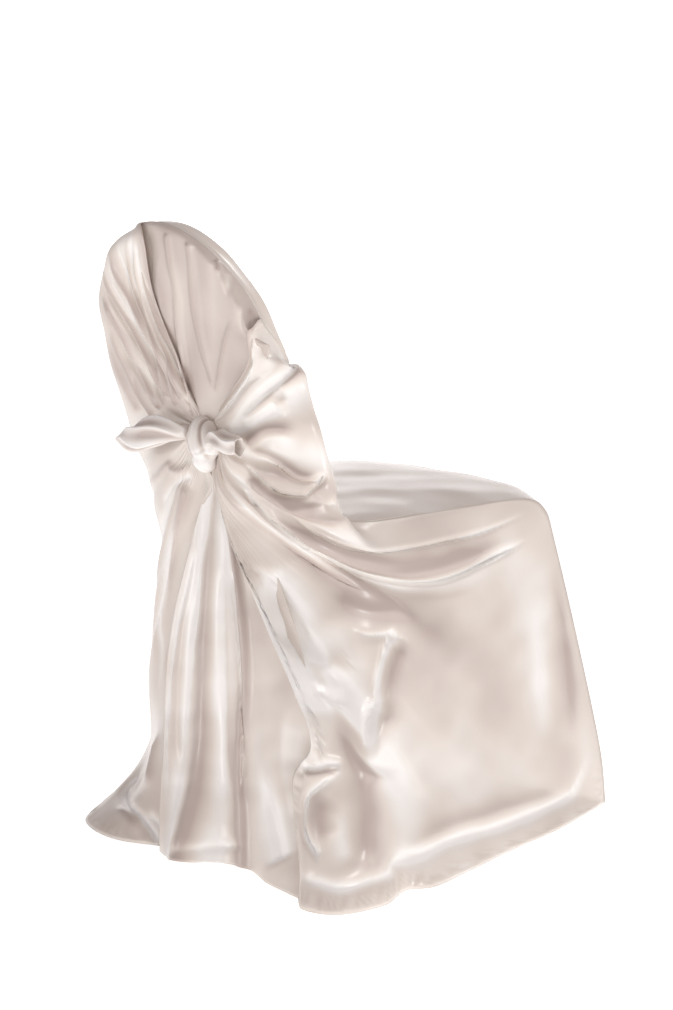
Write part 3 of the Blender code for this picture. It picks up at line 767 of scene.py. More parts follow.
@dataclass
class CentrePanel:
    """The piece that runs from the crown down the hood's front, over the seat and down the front.

    Attributes:
        hood: The hood that it covers.
        steps: Number of points along its edges.
        rim_columns: Number of points across the hood's boxed rim.
        front_columns: Number of points across the rest of the hood.
        piping: Height of the corded edge of the rim, in metres.
        piping_columns: How many columns of points that edge takes.
        piping_middle: The place of its top, in columns.
        piping_width: Half its width, in columns.
        seeds: Which patterns its dents have.
        broad: How broad its broad dents are and how deep.
        narrow: The same of its narrow dents.
        points: Its points, once it has its shape.
        faces: Its faces, as rows of four numbers of points.
        uv: A place on the flat cloth for each point, in metres.
        relief: The height of its folds at each point, which sets its painted shade and highlight.
        hem_lines: The lines of its stitches.
    """

    hood: Hood
    steps: Steps
    rim_columns: int = 18
    front_columns: int = 46
    piping: float = 0.0026
    piping_columns: int = 6
    piping_middle: float = 1.6
    piping_width: float = 1.2
    seeds: tuple[int, int] = (5, 6)
    broad: tuple[float, float] = (0.11, 0.0007)
    narrow: tuple[float, float] = (0.05, 0.0002)
    points: np.ndarray = field(default_factory=lambda: np.zeros((0, 3)))
    faces: np.ndarray = field(default_factory=lambda: np.zeros((0, 4), int))
    uv: np.ndarray = field(default_factory=lambda: np.zeros((0, 2)))
    relief: np.ndarray = field(default_factory=lambda: np.zeros(0))
    hem_lines: list[np.ndarray] = field(default_factory=list)

    def across_shares(self) -> np.ndarray:
        """Return the shares of the way from the rim's rear edge to the hood's middle."""
        rim = np.linspace(0.0, 0.5, self.rim_columns + 1)
        return np.concatenate([rim, np.linspace(0.5, 1.0, self.front_columns + 1)[1:]])

    def hood_sheet(self) -> Sheet:
        """Make the hood's part of the panel."""
        ways = self.steps.hood_ways()
        shares = self.across_shares()
        start = self.hood.start(ways)[:, None]
        grid = self.hood.points(ways[:, None], start + (2.0 - start) * shares[None, :])
        return Sheet(grid, ways, shares)

    def seat_sheet(self) -> Sheet:
        """Make the seat's top and the front skirt."""
        half = self.across_shares()
        across = np.concatenate([-(1.0 - half), (1.0 - half)[::-1][1:]])
        table = [row[1:] for row in CENTRE_ROWS]
        split = self.steps.split
        seat = np.linspace(0.0, FRONT_EDGE_ROW, self.steps.seat * split + 1)
        skirt = np.linspace(FRONT_EDGE_ROW, len(table) - 1.0, self.steps.skirt * split + 1)
        places = np.concatenate([seat, skirt[1:]])
        rows = through(np.arange(len(table)), table, places)
        middle, edge, middle_height, edge_height, half_width, centre = rows.T[:, :, None]
        x = centre + half_width * across
        y = middle + (edge - middle) * np.abs(across) ** 3
        z = middle_height + (edge_height - middle_height) * across ** 4
        grid = np.stack([x, y, z], axis=-1)
        reach = 1.0 - self.hood.edge_round / self.hood.half_width
        grid[0, :, 0] = self.hood.centre + self.hood.half_width * across * reach
        grid[0, :, 1] = self.hood.rear(self.hood.foot) + self.hood.depth
        return Sheet(grid, places, across, flipped=True)

    def shape(self) -> dict[str, np.ndarray]:
        """Build the panel's surface.

        Returns:
            The tucked-under lines to which the left, top and right sheets are sewn.
        """
        hood, seat = self.hood_sheet(), self.seat_sheet()
        self.points, self.faces, self.uv, numbers = weld([hood, seat])
        normals = face_normals_at_points(self.points, self.faces)
        tucked = self.points - normals * TUCK
        hood_rim = tucked[numbers[0][:, 0]]
        seat_left, seat_right = tucked[numbers[1][:, 0]], tucked[numbers[1][:, -1]]
        side = self.steps.hood_side * self.steps.split
        top = side + self.steps.hood_top * self.steps.split
        row = self.points[None]
        lift = dents(row, self.seeds, self.broad, self.narrow)[0]
        for column in range(self.piping_columns):
            away = (column - self.piping_middle) / self.piping_width
            lift[numbers[0][:, column]] += self.piping * math.exp(-away ** 2)
        self.points = self.points + normals * lift[:, None]
        # The dents and the raised piping also set painted shade and highlight in the colour
        self.relief = lift
        front = self.points[numbers[1]]
        bent = face_normals_at_points(self.points, self.faces)[numbers[1]]
        self.hem_lines = [inset_line(front, bent, 0, HEM_INSET)]
        return {
            "left": np.concatenate([hood_rim[:side + 1][::-1], seat_left[1:]]),
            "top": hood_rim[side:top + 1],
            "right": np.concatenate([hood_rim[top:], seat_right[1:]]),
        }

    def build(self, material: bpy.types.Material) -> bpy.types.Object:
        """Make the panel's mesh object."""
        solid = thicken(self.points, self.faces, self.uv)
        return make_piece("satin_centre_panel", *solid, material, self.relief)


@dataclass(frozen=True)
class KnotForm:
    """Where the knot stands and how big it is.

    Attributes:
        centre: Its middle.
        radii: Half its width, depth and height.
        root_depth: How far in front of its middle, on the hood's side, the gathered cloth goes in.
    """

    centre: Point = (0.022, -0.270, 0.596)
    radii: Point = (0.030, 0.022, 0.034)
    root_depth: float = 0.008

    def ring(self, angles: tuple[float, float], count: int) -> np.ndarray:
        """Return points round the knot, where the gathered cloth goes into it."""
        share = (1.0 - (self.root_depth / self.radii[1]) ** 2) ** 0.5
        wide = self.radii[0] * share
        high = self.radii[2] * share
        turn = np.radians(np.linspace(*angles, count))
        x, y, z = self.centre
        return np.stack([x + wide * np.cos(turn), np.full(count, y + self.root_depth),
                         z + high * np.sin(turn)], axis=1)


def floor_line(start: np.ndarray, spots: Sequence[tuple[float, float]], count: int) -> np.ndarray:
    """Return points along the hem on the floor, from the front corner round to its inner end."""
    outline = [(start[0], start[1])] + list(spots)
    line = through(np.linspace(0.0, 1.0, len(outline)), outline, np.linspace(0.0, 1.0, count + 1))
    return np.column_stack([line, np.zeros(len(line))])[1:]


@dataclass
class Wing:
    """A side sheet: sewn to the hood, seat and skirt, gathered at the knot and trailing on the floor.

    Attributes:
        name: The piece's name.
        side: 1 for the right wing, -1 for the left.
        drapes: Its rays below the hood.
        folds: Its broad folds.
        creases: Its sharper folds, as listed.
        hem: Spots along its hem on the floor.
        ring: First and last angle of its gathers round the knot.
        lift: How far its free part stands off the hood's edge.
        ways: Places on the hood's outline to which its first rays run.
        rays: Number of rows of points round the knot.
        rings: Number of steps from the knot to the edge.
        density: Pairs of place and how close together the rays stand there.
        hood: The hood that its edge is sewn to.
        knot: The knot that gathers it.
        steps: Number of points along its edges.
        sag: How far its inner edge bends outwards, near the knot and half way.
        corner: How far the upper end of its inner edge is drawn from the hood's rear edge to the seam.
        stations: Shares of a ray at which its root, its three points and its end stand.
        wing_height: How far the free part stands off the hood's rear.
        edge_height: How far its inner edge does.
        near_rise: How much further it stands out near the knot.
        fold_share: How much of each broad fold's height is used.
        sewn_to: The place up to which its edge is sewn.
        edge_tuck: How far its inner edge turns in.
        sag_reach: The place up to which the inner edge's bend is felt.
        furthest: The furthest share at which a ray's last point stands.
        gathers: Number of small gathers round the knot.
        gather_height: Their height.
        gather_reach: The share of a ray over which they fade.
        broad: How broad the wing's broad dents are and how deep.
        narrow: The same of its narrow dents.
        pucker_pitch: From one pucker of the hem to the next, in metres.
        pucker_drift: How far the puckers drift from even steps, in radians, and over what length.
        pucker_height: Their height.
        pucker_width: How far they reach to either side of the stitches.
        roll: Height of the hem's rolled edge, and its width.
        stitches_from: The share at which the free edge's stitches begin.
        stitches_stop: Points left off at the end of the free edge's stitches, and of the hem's.
        hem_lines: The lines of its stitches, once it has its shape.
    """

    name: str
    side: float
    drapes: Sequence[Drape]
    folds: Sequence[Fold]
    creases: Sequence[Crease]
    hem: Sequence[tuple[float, float]]
    ring: tuple[float, float]
    lift: Point
    ways: np.ndarray
    rays: int
    rings: int
    density: Sequence[tuple[float, float]]
    hood: Hood
    knot: KnotForm
    steps: Steps
    sag: tuple[float, float]
    corner: Point
    stations: tuple[float, ...] = (0.0, 0.22, 0.5, 0.78, 1.0)
    wing_height: float = 0.012
    edge_height: float = 0.002
    near_rise: float = 0.006
    fold_share: float = 0.5
    sewn_to: float = 0.71
    edge_tuck: float = 0.006
    sag_reach: float = 0.14
    furthest: float = 0.965
    gathers: int = 24
    gather_height: float = 0.0014
    gather_reach: float = 0.10
    broad: tuple[float, float] = (0.16, 0.0010)
    narrow: tuple[float, float] = (0.06, 0.00025)
    pucker_pitch: float = 0.013
    pucker_drift: tuple[float, float] = (2.0, 0.047)
    pucker_height: float = 0.0011
    pucker_width: float = 0.009
    roll: tuple[float, float] = (0.0016, 0.003)
    stitches_from: float = 0.18
    stitches_stop: tuple[int, int] = (8, 6)
    hem_lines: list[np.ndarray] = field(default_factory=list)

    def hood_drape(self, place: float, way: float, root: np.ndarray) -> Drape:
        """Return the ray that runs from the knot round the hood's edge to a place on it."""
        settled = ease(0.0, 0.05, place)
        rim = self.hood.points(way, 0.0) + np.array(self.lift) * settled
        rim = rim + np.array(self.corner) * (1.0 - settled)
        near = root + (rim - root) * self.stations[1] / self.stations[3]
        half = root + (rim - root) * self.stations[2] / self.stations[3]
        height = self.edge_height + (self.wing_height - self.edge_height) * ease(0.0, 0.07, place)
        inner = (1.0 - ease(0.0, self.sag_reach, place)) * self.side
        near[0] += self.sag[0] * inner
        half[0] += self.sag[1] * inner
        near[1] = self.hood.rear(near[2]) - height - self.near_rise
        half[1] = self.hood.rear(half[2]) - height
        return Drape("to the hood", place, tuple(near), tuple(half), tuple(rim))

    def base(self, edge: np.ndarray) -> Sheet:
        """Spread the wing from the knot to its edge, with its broad folds.

        Args:
            edge: The tucked line that it is sewn to.

        Returns:
            The sheet, whose rows are rays and whose columns are shares of the way out.
        """
        split = self.steps.split
        edge = np.concatenate([edge, floor_line(edge[-1], self.hem, self.steps.floor * split)])
        even = np.linspace(0.0, 1.0, len(edge))
        density = np.interp(even, *zip(*self.density))
        passed = np.concatenate([[0.0], np.cumsum((density[1:] + density[:-1]) / 2)])
        places = np.interp(np.linspace(0.0, passed[-1], self.rays), passed, even)
        roots = self.knot.ring(self.ring, len(edge))
        rows = [self.hood_drape(even[number * split], way, roots[number * split])
                for number, way in enumerate(self.ways)]
        edge = np.stack([np.interp(places, even, edge[:, axis]) for axis in range(3)], axis=1)
        roots = np.stack([np.interp(places, even, roots[:, axis]) for axis in range(3)], axis=1)
        count = len(places)
        rows.extend(self.drapes)
        table = [row.near + row.half + row.far for row in rows]
        middles = through([row.place for row in rows], table, places).reshape(count, 3, 3)
        shares = np.linspace(0.0, 1.0, self.rings + 1)
        stations = np.concatenate([roots[:, None], middles, edge[:, None]], axis=1)
        legs = np.linalg.norm(np.diff(stations, axis=1), axis=2)
        last = np.clip(1.0 - legs[:, -1] / legs.sum(axis=1), self.stations[3], self.furthest)
        near, half = self.stations[1] / self.stations[3], self.stations[2] / self.stations[3]
        grid = np.stack([through((0.0, near * far, half * far, far, 1.0), row, shares)
                         for far, row in zip(last, stations)])
        sheet = Sheet(grid, places, shares, flipped=self.side < 0)
        lift = np.zeros(grid.shape[:2])
        for fold in self.folds:
            line = np.interp(shares, (0.0, 1.0), (fold.place, fold.end_place))
            offset = (places[:, None] - line[None, :]) / fold.width
            along = np.sin(np.pi * np.clip((shares - fold.start) / (fold.end - fold.start), 0.0, 1.0))
            lift += fold.height * self.fold_share * np.exp(-offset ** 2) * along[None, :]
        sheet.raise_by(lift)
        return sheet

    def shape(self, edge: np.ndarray) -> Sheet:
        """Return the wing with all its folds, its gathers and its unevenness."""
        sheet = self.base(edge)
        sewn = 1.0 - ease(self.sewn_to - 0.03, self.sewn_to, sheet.places)[:, None]
        outer = ease(0.0, 0.03, 1.0 - sheet.shares)[None, :]
        freedom = (1.0 - sewn * (1.0 - outer)) * ease(0.0, 0.05, sheet.shares)[None, :]
        sheet.crease(self.creases, freedom)
        seed = 11 if self.side > 0 else 12
        lift = dents(sheet.grid, (seed, seed + 10), self.broad, self.narrow)
        wave = np.sin(sheet.places * 2 * math.pi * self.gathers)[:, None]
        gathers = self.gather_height * wave * np.exp(-sheet.shares[None, :] / self.gather_reach)
        tuck = -self.edge_tuck * (1.0 - ease(0.0, 0.022, sheet.places))[:, None]
        tuck = tuck * (ease(0.04, 0.15, sheet.shares) * ease(0.0, 0.03, 1.0 - sheet.shares))[None, :]
        sheet.raise_by(tuck)
        sheet.raise_by(lift * freedom + gathers * ease(0.0, 0.04, sheet.shares)[None, :])
        sheet.raise_by(self.puckers(sheet.grid))
        self.hem_lines = self.stitch_lines(sheet)
        return sheet

    def puckers(self, grid: np.ndarray) -> np.ndarray:
        """Work out the small puckers that the stitching draws into the free edge and the hem."""
        total = np.zeros(grid.shape[:2])
        swing, length = self.pucker_drift
        rolled, roll_width = self.roll
        for axis in (0, 1):
            away = distance_from_end(grid, axis)
            across = distance_from_end(grid, 1 - axis)
            drift = swing * np.sin(across * 2 * math.pi / length)
            wave = np.sin(across * 2 * math.pi / self.pucker_pitch + drift)
            total += self.pucker_height * wave * np.exp(-((away - HEM_INSET) / self.pucker_width) ** 2)
            total += rolled * np.exp(-(away / roll_width) ** 2)
        loose = ease(self.sewn_to, self.sewn_to + 0.03, np.linspace(0.0, 1.0, grid.shape[0]))
        return total * loose[:, None] * ease(0.10, 0.2, np.linspace(0.0, 1.0, grid.shape[1]))[None, :]

    def stitch_lines(self, sheet: Sheet) -> list[np.ndarray]:
        """Return the lines of the stitching inside the free edge and the hem."""
        normals = sheet.normals()
        edge = inset_line(sheet.grid, normals, 0, HEM_INSET)[sheet.shares > self.stitches_from]
        hem = inset_line(sheet.grid, normals, 1, HEM_INSET)[sheet.places > self.sewn_to + 0.005]
        edge, hem = (line[:-stop] for line, stop in zip((edge, hem), self.stitches_stop))
        return [edge, hem] if self.side > 0 else [hem]

    def build(self, edge: np.ndarray, material: bpy.types.Material) -> bpy.types.Object:
        """Make the wing's mesh object."""
        sheet = self.shape(edge)
        solid = thicken(sheet.grid.reshape(-1, 3), sheet.faces(), metres_along(sheet.grid))
        # Every fold, tuck, dent, gather and pucker raised on the sheet sets painted shade and highlight in
        # its colour
        return make_piece(self.name, *solid, material, sheet.relief)


RIGHT_DRAPES = (
    Drape("upper side", 0.145, (0.084, -0.270, 0.628), (0.162, -0.266, 0.686), (0.196, -0.229, 0.708)),
    Drape("bulge", 0.195, (0.086, -0.268, 0.608), (0.184, -0.250, 0.634), (0.209, -0.220, 0.642)),
    Drape("lower bulge", 0.245, (0.089, -0.268, 0.588), (0.195, -0.238, 0.585), (0.218, -0.202, 0.580)),
    Drape("seat corner", 0.30, (0.090, -0.270, 0.572), (0.198, -0.230, 0.545), (0.217, -0.186, 0.514)),
    Drape("short swag", 0.35, (0.085, -0.272, 0.560), (0.203, -0.228, 0.505), (0.232, -0.150, 0.464)),
    Drape("middle swag", 0.42, (0.085, -0.273, 0.545), (0.208, -0.224, 0.470), (0.240, -0.085, 0.432)),
    Drape("long swag", 0.50, (0.082, -0.274, 0.532), (0.216, -0.215, 0.440), (0.246, 0.000, 0.378)),
    Drape("upper corner", 0.57, (0.080, -0.275, 0.520), (0.246, -0.158, 0.388), (0.262, 0.020, 0.300)),
    Drape("lower corner", 0.635, (0.080, -0.276, 0.508), (0.260, -0.168, 0.342), (0.286, 0.020, 0.200)),
    Drape("front hem", 0.70, (0.082, -0.277, 0.497), (0.266, -0.182, 0.305), (0.314, 0.005, 0.110)),
    Drape("side hem", 0.775, (0.085, -0.278, 0.487), (0.273, -0.200, 0.268), (0.330, -0.105, 0.100)),
    Drape("hem notch", 0.85, (0.088, -0.279, 0.480), (0.281, -0.227, 0.228), (0.340, -0.215, 0.090)),
    Drape("pool corner", 0.89, (0.090, -0.280, 0.474), (0.283, -0.250, 0.220), (0.352, -0.275, 0.080)),
    Drape("pool", 0.935, (0.090, -0.280, 0.469), (0.278, -0.273, 0.230), (0.312, -0.310, 0.095)),
    Drape("hem edge", 1.00, (0.087, -0.279, 0.463), (0.270, -0.296, 0.234), (0.240, -0.302, 0.140)),
)
LEFT_DRAPES = (
    Drape("seat corner", 0.355, (-0.055, -0.266, 0.575), (-0.160, -0.236, 0.535), (-0.214, -0.172, 0.502)),
    Drape("short swag", 0.41, (-0.050, -0.266, 0.560), (-0.155, -0.230, 0.500), (-0.230, -0.138, 0.462)),
    Drape("middle swag", 0.47, (-0.048, -0.266, 0.545), (-0.158, -0.226, 0.465), (-0.244, -0.075, 0.430)),
    Drape("long swag", 0.54, (-0.046, -0.266, 0.530), (-0.158, -0.216, 0.430), (-0.252, 0.010, 0.380)),
    Drape("upper corner", 0.60, (-0.044, -0.267, 0.520), (-0.162, -0.208, 0.380), (-0.266, 0.030, 0.300)),
    Drape("lower corner", 0.66, (-0.041, -0.268, 0.510), (-0.170, -0.210, 0.320), (-0.288, 0.020, 0.200)),
    Drape("front hem", 0.72, (-0.038, -0.268, 0.500), (-0.177, -0.216, 0.280), (-0.308, 0.000, 0.110)),
    Drape("side hem", 0.79, (-0.036, -0.268, 0.495), (-0.176, -0.226, 0.260), (-0.290, -0.110, 0.100)),
    Drape("rear hem", 0.85, (-0.033, -0.267, 0.490), (-0.166, -0.236, 0.245), (-0.236, -0.190, 0.085)),
    Drape("tip", 0.895, (-0.028, -0.265, 0.491), (-0.148, -0.248, 0.240), (-0.166, -0.270, 0.045)),
    Drape("inner hem", 0.935, (-0.014, -0.258, 0.495), (-0.100, -0.258, 0.245), (-0.098, -0.318, 0.050)),
    Drape("hidden edge", 1.00, (0.016, -0.243, 0.502), (-0.006, -0.262, 0.290), (0.000, -0.302, 0.110)),
)
RIGHT_FOLDS = (
    Fold("upper band", 0.07, 0.06, 0.025, 0.0, 1.0, 0.006),
    Fold("overlap valley", 0.125, 0.12, 0.018, 0.0, 1.0, -0.008),
    Fold("light ridge", 0.165, 0.165, 0.020, 0.0, 1.0, 0.006),
    Fold("shallow valley", 0.20, 0.20, 0.018, 0.0, 1.0, -0.006),
    Fold("short swag", 0.24, 0.24, 0.022, 0.0, 1.0, 0.008),
    Fold("valley below it", 0.29, 0.285, 0.020, 0.05, 0.95, -0.008),
    Fold("thin swag", 0.36, 0.36, 0.022, 0.05, 1.0, 0.009),
    Fold("valley above the long swag", 0.43, 0.425, 0.020, 0.05, 0.9, -0.008),
    Fold("long swag", 0.50, 0.495, 0.024, 0.0, 1.0, 0.012),
    Fold("hollow below it", 0.57, 0.57, 0.035, 0.1, 0.9, -0.008),
    Fold("corner ridge", 0.82, 0.82, 0.030, 0.3, 1.0, 0.012),
    Fold("fold in the pool", 0.875, 0.87, 0.022, 0.45, 1.0, -0.010),
)
LEFT_FOLDS = (
    Fold("inner edge", 0.025, 0.02, 0.022, 0.0, 1.0, 0.004),
    Fold("first valley", 0.06, 0.06, 0.018, 0.0, 1.0, -0.005),
    Fold("second pleat", 0.10, 0.10, 0.018, 0.0, 1.0, 0.005),
    Fold("second valley", 0.14, 0.14, 0.018, 0.0, 1.0, -0.005),
    Fold("third pleat", 0.18, 0.18, 0.018, 0.0, 1.0, 0.005),
    Fold("third valley", 0.22, 0.22, 0.018, 0.0, 1.0, -0.005),
    Fold("plain cloth", 0.29, 0.29, 0.030, 0.1, 1.0, 0.004),
    Fold("drape ridge", 0.57, 0.57, 0.030, 0.05, 0.9, 0.005),
    Fold("drape hollow", 0.64, 0.64, 0.030, 0.05, 0.9, -0.007),
    Fold("rear ridge", 0.84, 0.85, 0.028, 0.1, 1.0, 0.006),
)
RIGHT_HEM = ((0.345, 0.141), (0.364, -0.005), (0.386, -0.160), (0.368, -0.208), (0.388, -0.268),
             (0.368, -0.335), (0.318, -0.356), (0.286, -0.322))
LEFT_HEM = ((-0.338, 0.130), (-0.330, -0.010), (-0.300, -0.150), (-0.240, -0.250), (-0.186, -0.356),
            (-0.088, -0.380), (0.000, -0.343), (0.035, -0.325))
RIGHT_CREASES: tuple[Crease, ...] = (
    Crease("band edge over the lower folds", ((0.115, 1.0), (0.143, 0.66), (0.15, 0.511), (0.15, 0.388),
                                              (0.143, 0.255)), 0.01, 0.009, Profile.LAP_UP, (0.05, 0.25)),
    Crease("trough under the band", ((0.139, 0.792), (0.149, 0.634), (0.158, 0.487), (0.162, 0.38),
                                     (0.16, 0.261)), 0.009, 0.0078, Profile.TROUGH, (0.1, 0.2)),
    Crease("crease in the band", ((0.091, 0.93), (0.117, 0.639), (0.126, 0.436), (0.119, 0.238)),
           0.01, 0.003),
    Crease("leaf of light cloth", ((0.149, 0.618), (0.155, 0.546), (0.16, 0.473)),
           0.008, 0.0042, Profile.RIDGE, (0.4, 0.4)),
    Crease("hollow by the leaf", ((0.168, 0.59), (0.169, 0.523), (0.17, 0.46)),
           0.01, 0.006, Profile.TROUGH, (0.4, 0.4)),
    Crease("ridge to the knot", ((0.178, 0.537), (0.171, 0.431), (0.167, 0.342), (0.162, 0.178)),
           0.012, 0.006, Profile.RIDGE, (0.4, 0.2)),
    Crease("arch", ((0.208, 0.554), (0.198, 0.468), (0.193, 0.387), (0.203, 0.334), (0.215, 0.289)),
           0.008, 0.006, Profile.TROUGH, (0.3, 0.2)),
    Crease("tan fold", ((0.226, 0.538), (0.214, 0.451), (0.21, 0.384), (0.22, 0.32)),
           0.012, 0.0054, Profile.RIDGE, (0.4, 0.3)),
    Crease("crease under the arch", ((0.27, 0.588), (0.277, 0.492), (0.262, 0.434), (0.238, 0.364),
                                     (0.226, 0.286)), 0.006, 0.0054, Profile.TROUGH, (0.2, 0.2)),
    Crease("upper swag", ((0.261, 0.667), (0.28, 0.535), (0.286, 0.455), (0.263, 0.397), (0.242, 0.325)),
           0.0045, 0.0066, Profile.RIDGE, (0.1, 0.3)),
    Crease("short swag", ((0.258, 0.663), (0.295, 0.547), (0.324, 0.47), (0.332, 0.404), (0.311, 0.322),
                          (0.273, 0.267)), 0.0055, 0.0084, Profile.LAP_UP, (0.05, 0.2)),
    Crease("trough under the short swag", ((0.286, 0.659), (0.333, 0.525), (0.353, 0.456), (0.344, 0.378),
                                           (0.306, 0.278)), 0.011, 0.0084, Profile.TROUGH, (0.2, 0.2)),
    Crease("pointed fold", ((0.279, 0.773), (0.292, 0.765), (0.312, 0.756)),
           0.006, 0.0096, Profile.RIDGE, (0.25, 0.1)),
    Crease("fold to the point", ((0.293, 0.73), (0.319, 0.549), (0.333, 0.491)),
           0.009, 0.006, Profile.RIDGE, (0.2, 0.4)),
    Crease("rear trough", ((0.318, 0.744), (0.343, 0.595), (0.353, 0.514), (0.342, 0.443), (0.33, 0.379)),
           0.008, 0.006, Profile.TROUGH, (0.2, 0.3)),
    Crease("thin swag", ((0.499, 0.975), (0.463, 0.9), (0.427, 0.847), (0.395, 0.756), (0.404, 0.599),
                         (0.395, 0.514), (0.37, 0.482)), 0.0042, 0.0058, Profile.LAP_UP, (0.2, 0.2)),
    Crease("trough over the long swag", ((0.509, 0.93), (0.48, 0.85), (0.462, 0.767), (0.458, 0.675),
                                         (0.444, 0.593), (0.421, 0.484), (0.406, 0.384)),
           0.016, 0.0096, Profile.TROUGH, (0.2, 0.2)),
    Crease("long swag", ((0.532, 0.947), (0.504, 0.854), (0.492, 0.757), (0.485, 0.665), (0.481, 0.566),
                         (0.463, 0.449), (0.436, 0.348), (0.38, 0.267)),
           0.006, 0.0114, Profile.LAP_UP, (0.12, 0.12)),
    Crease("trough under the long swag", ((0.535, 0.876), (0.518, 0.767), (0.524, 0.643), (0.569, 0.46),
                                          (0.593, 0.371), (0.575, 0.308)),
           0.018, 0.0048, Profile.TROUGH, (0.3, 0.3)),
    Crease("shadowed hollow", ((0.546, 0.675), (0.575, 0.555), (0.607, 0.488), (0.622, 0.447),
                               (0.639, 0.407)), 0.016, 0.0072, Profile.TROUGH, (0.35, 0.4)),
    Crease("corner of the bright fold", ((0.6, 0.555), (0.636, 0.507), (0.668, 0.465)),
           0.008, 0.006, Profile.LAP_DOWN, (0.05, 0.4)),
    Crease("bright fold", ((0.602, 0.553), (0.663, 0.53), (0.742, 0.53), (0.81, 0.58), (0.864, 0.618)),
           0.012, 0.0102, Profile.LAP_DOWN, (0.05, 0.3)),
    Crease("trough beside it", ((0.608, 0.578), (0.664, 0.551), (0.74, 0.553), (0.805, 0.62),
                                (0.849, 0.669)), 0.016, 0.006, Profile.TROUGH, (0.15, 0.2)),
    Crease("light strip by the edge", ((0.78, 0.319), (0.862, 0.392), (0.907, 0.455), (0.928, 0.526)),
           0.04, 0.0072, Profile.RIDGE, (0.2, 0.2)),
    Crease("bright facet", ((0.671, 0.427), (0.733, 0.458), (0.82, 0.522), (0.873, 0.573)), 0.035, 0.0048),
    Crease("patch of light", ((0.779, 0.414), (0.876, 0.411), (0.98, 0.364)),
           0.014, 0.0048, Profile.RIDGE, (0.4, 0.3)),
    Crease("hollow under the patch", ((0.741, 0.479), (0.829, 0.465), (0.928, 0.432)),
           0.014, 0.0048, Profile.TROUGH, (0.4, 0.4)),
    Crease("short ridge by the edge", ((0.659, 0.352), (0.778, 0.328), (0.97, 0.304)), 0.005, 0.0024),
    Crease("low ridge", ((0.82, 0.528), (0.864, 0.503), (0.926, 0.477)), 0.007, 0.0048),
    Crease("hollow over the low ridge", ((0.81, 0.504), (0.859, 0.481), (0.915, 0.464)),
           0.009, 0.0036, Profile.TROUGH, (0.4, 0.4)),
    Crease("slanting crease", ((0.902, 0.539), (0.895, 0.586), (0.883, 0.646), (0.858, 0.703),
                               (0.805, 0.767)), 0.008, 0.0048, Profile.TROUGH, (0.3, 0.4)),
    Crease("lip of the slanting crease", ((0.875, 0.546), (0.873, 0.594), (0.859, 0.645), (0.826, 0.702),
                                          (0.8, 0.738)), 0.008, 0.0036, Profile.RIDGE, (0.4, 0.3)),
    Crease("leaf over the pool", ((0.9, 0.631), (0.952, 0.634), (0.999, 0.679)),
           0.006, 0.0072, Profile.RIDGE, (0.3, 0.1)),
    Crease("trough under the leaf", ((0.911, 0.649), (0.956, 0.661), (0.99, 0.702)),
           0.006, 0.006, Profile.TROUGH, (0.3, 0.2)),
    Crease("pool shoulder", ((0.903, 0.639), (0.944, 0.678), (0.967, 0.739), (0.972, 0.794),
                             (0.971, 0.849), (0.951, 0.879), (0.94, 0.9)),
           0.008, 0.009, Profile.LAP_UP, (0.2, 0.2)),
    Crease("pocket in the pool", ((0.93, 0.731), (0.938, 0.784), (0.936, 0.83), (0.927, 0.863)),
           0.018, 0.0048, Profile.TROUGH, (0.3, 0.3)),
    Crease("pool ridge", ((0.905, 0.728), (0.911, 0.817), (0.911, 0.875), (0.907, 0.913)),
           0.016, 0.0048, Profile.RIDGE, (0.4, 0.3)),
    Crease("pool trough", ((0.866, 0.772), (0.884, 0.859), (0.89, 0.908)),
           0.016, 0.0024, Profile.TROUGH, (0.4, 0.3)),
    Crease("pool curl", ((0.979, 0.941), (0.942, 0.942), (0.917, 0.949), (0.889, 0.946), (0.855, 0.958)),
           0.008, 0.006, Profile.RIDGE, (0.3, 0.1)),
    Crease("kink over the hem", ((0.655, 0.979), (0.677, 0.96), (0.708, 0.934), (0.74, 0.923),
                                 (0.776, 0.921), (0.812, 0.929), (0.852, 0.939), (0.889, 0.93)),
           0.009, 0.0066, Profile.RIDGE, (0.3, 0.2)),
    Crease("trough over the kink", ((0.696, 0.915), (0.723, 0.879), (0.765, 0.87), (0.807, 0.902),
                                    (0.843, 0.912)), 0.014, 0.0036, Profile.TROUGH, (0.3, 0.3)),
    Crease("corner line", ((0.565, 0.988), (0.592, 0.974), (0.625, 0.959), (0.656, 0.95)),
           0.014, 0.0048, Profile.TROUGH, (0.3, 0.3)),
    Crease("soft vertical fold", ((0.576, 0.933), (0.617, 0.913), (0.663, 0.894)),
           0.018, 0.0036, Profile.RIDGE, (0.4, 0.4)),
)
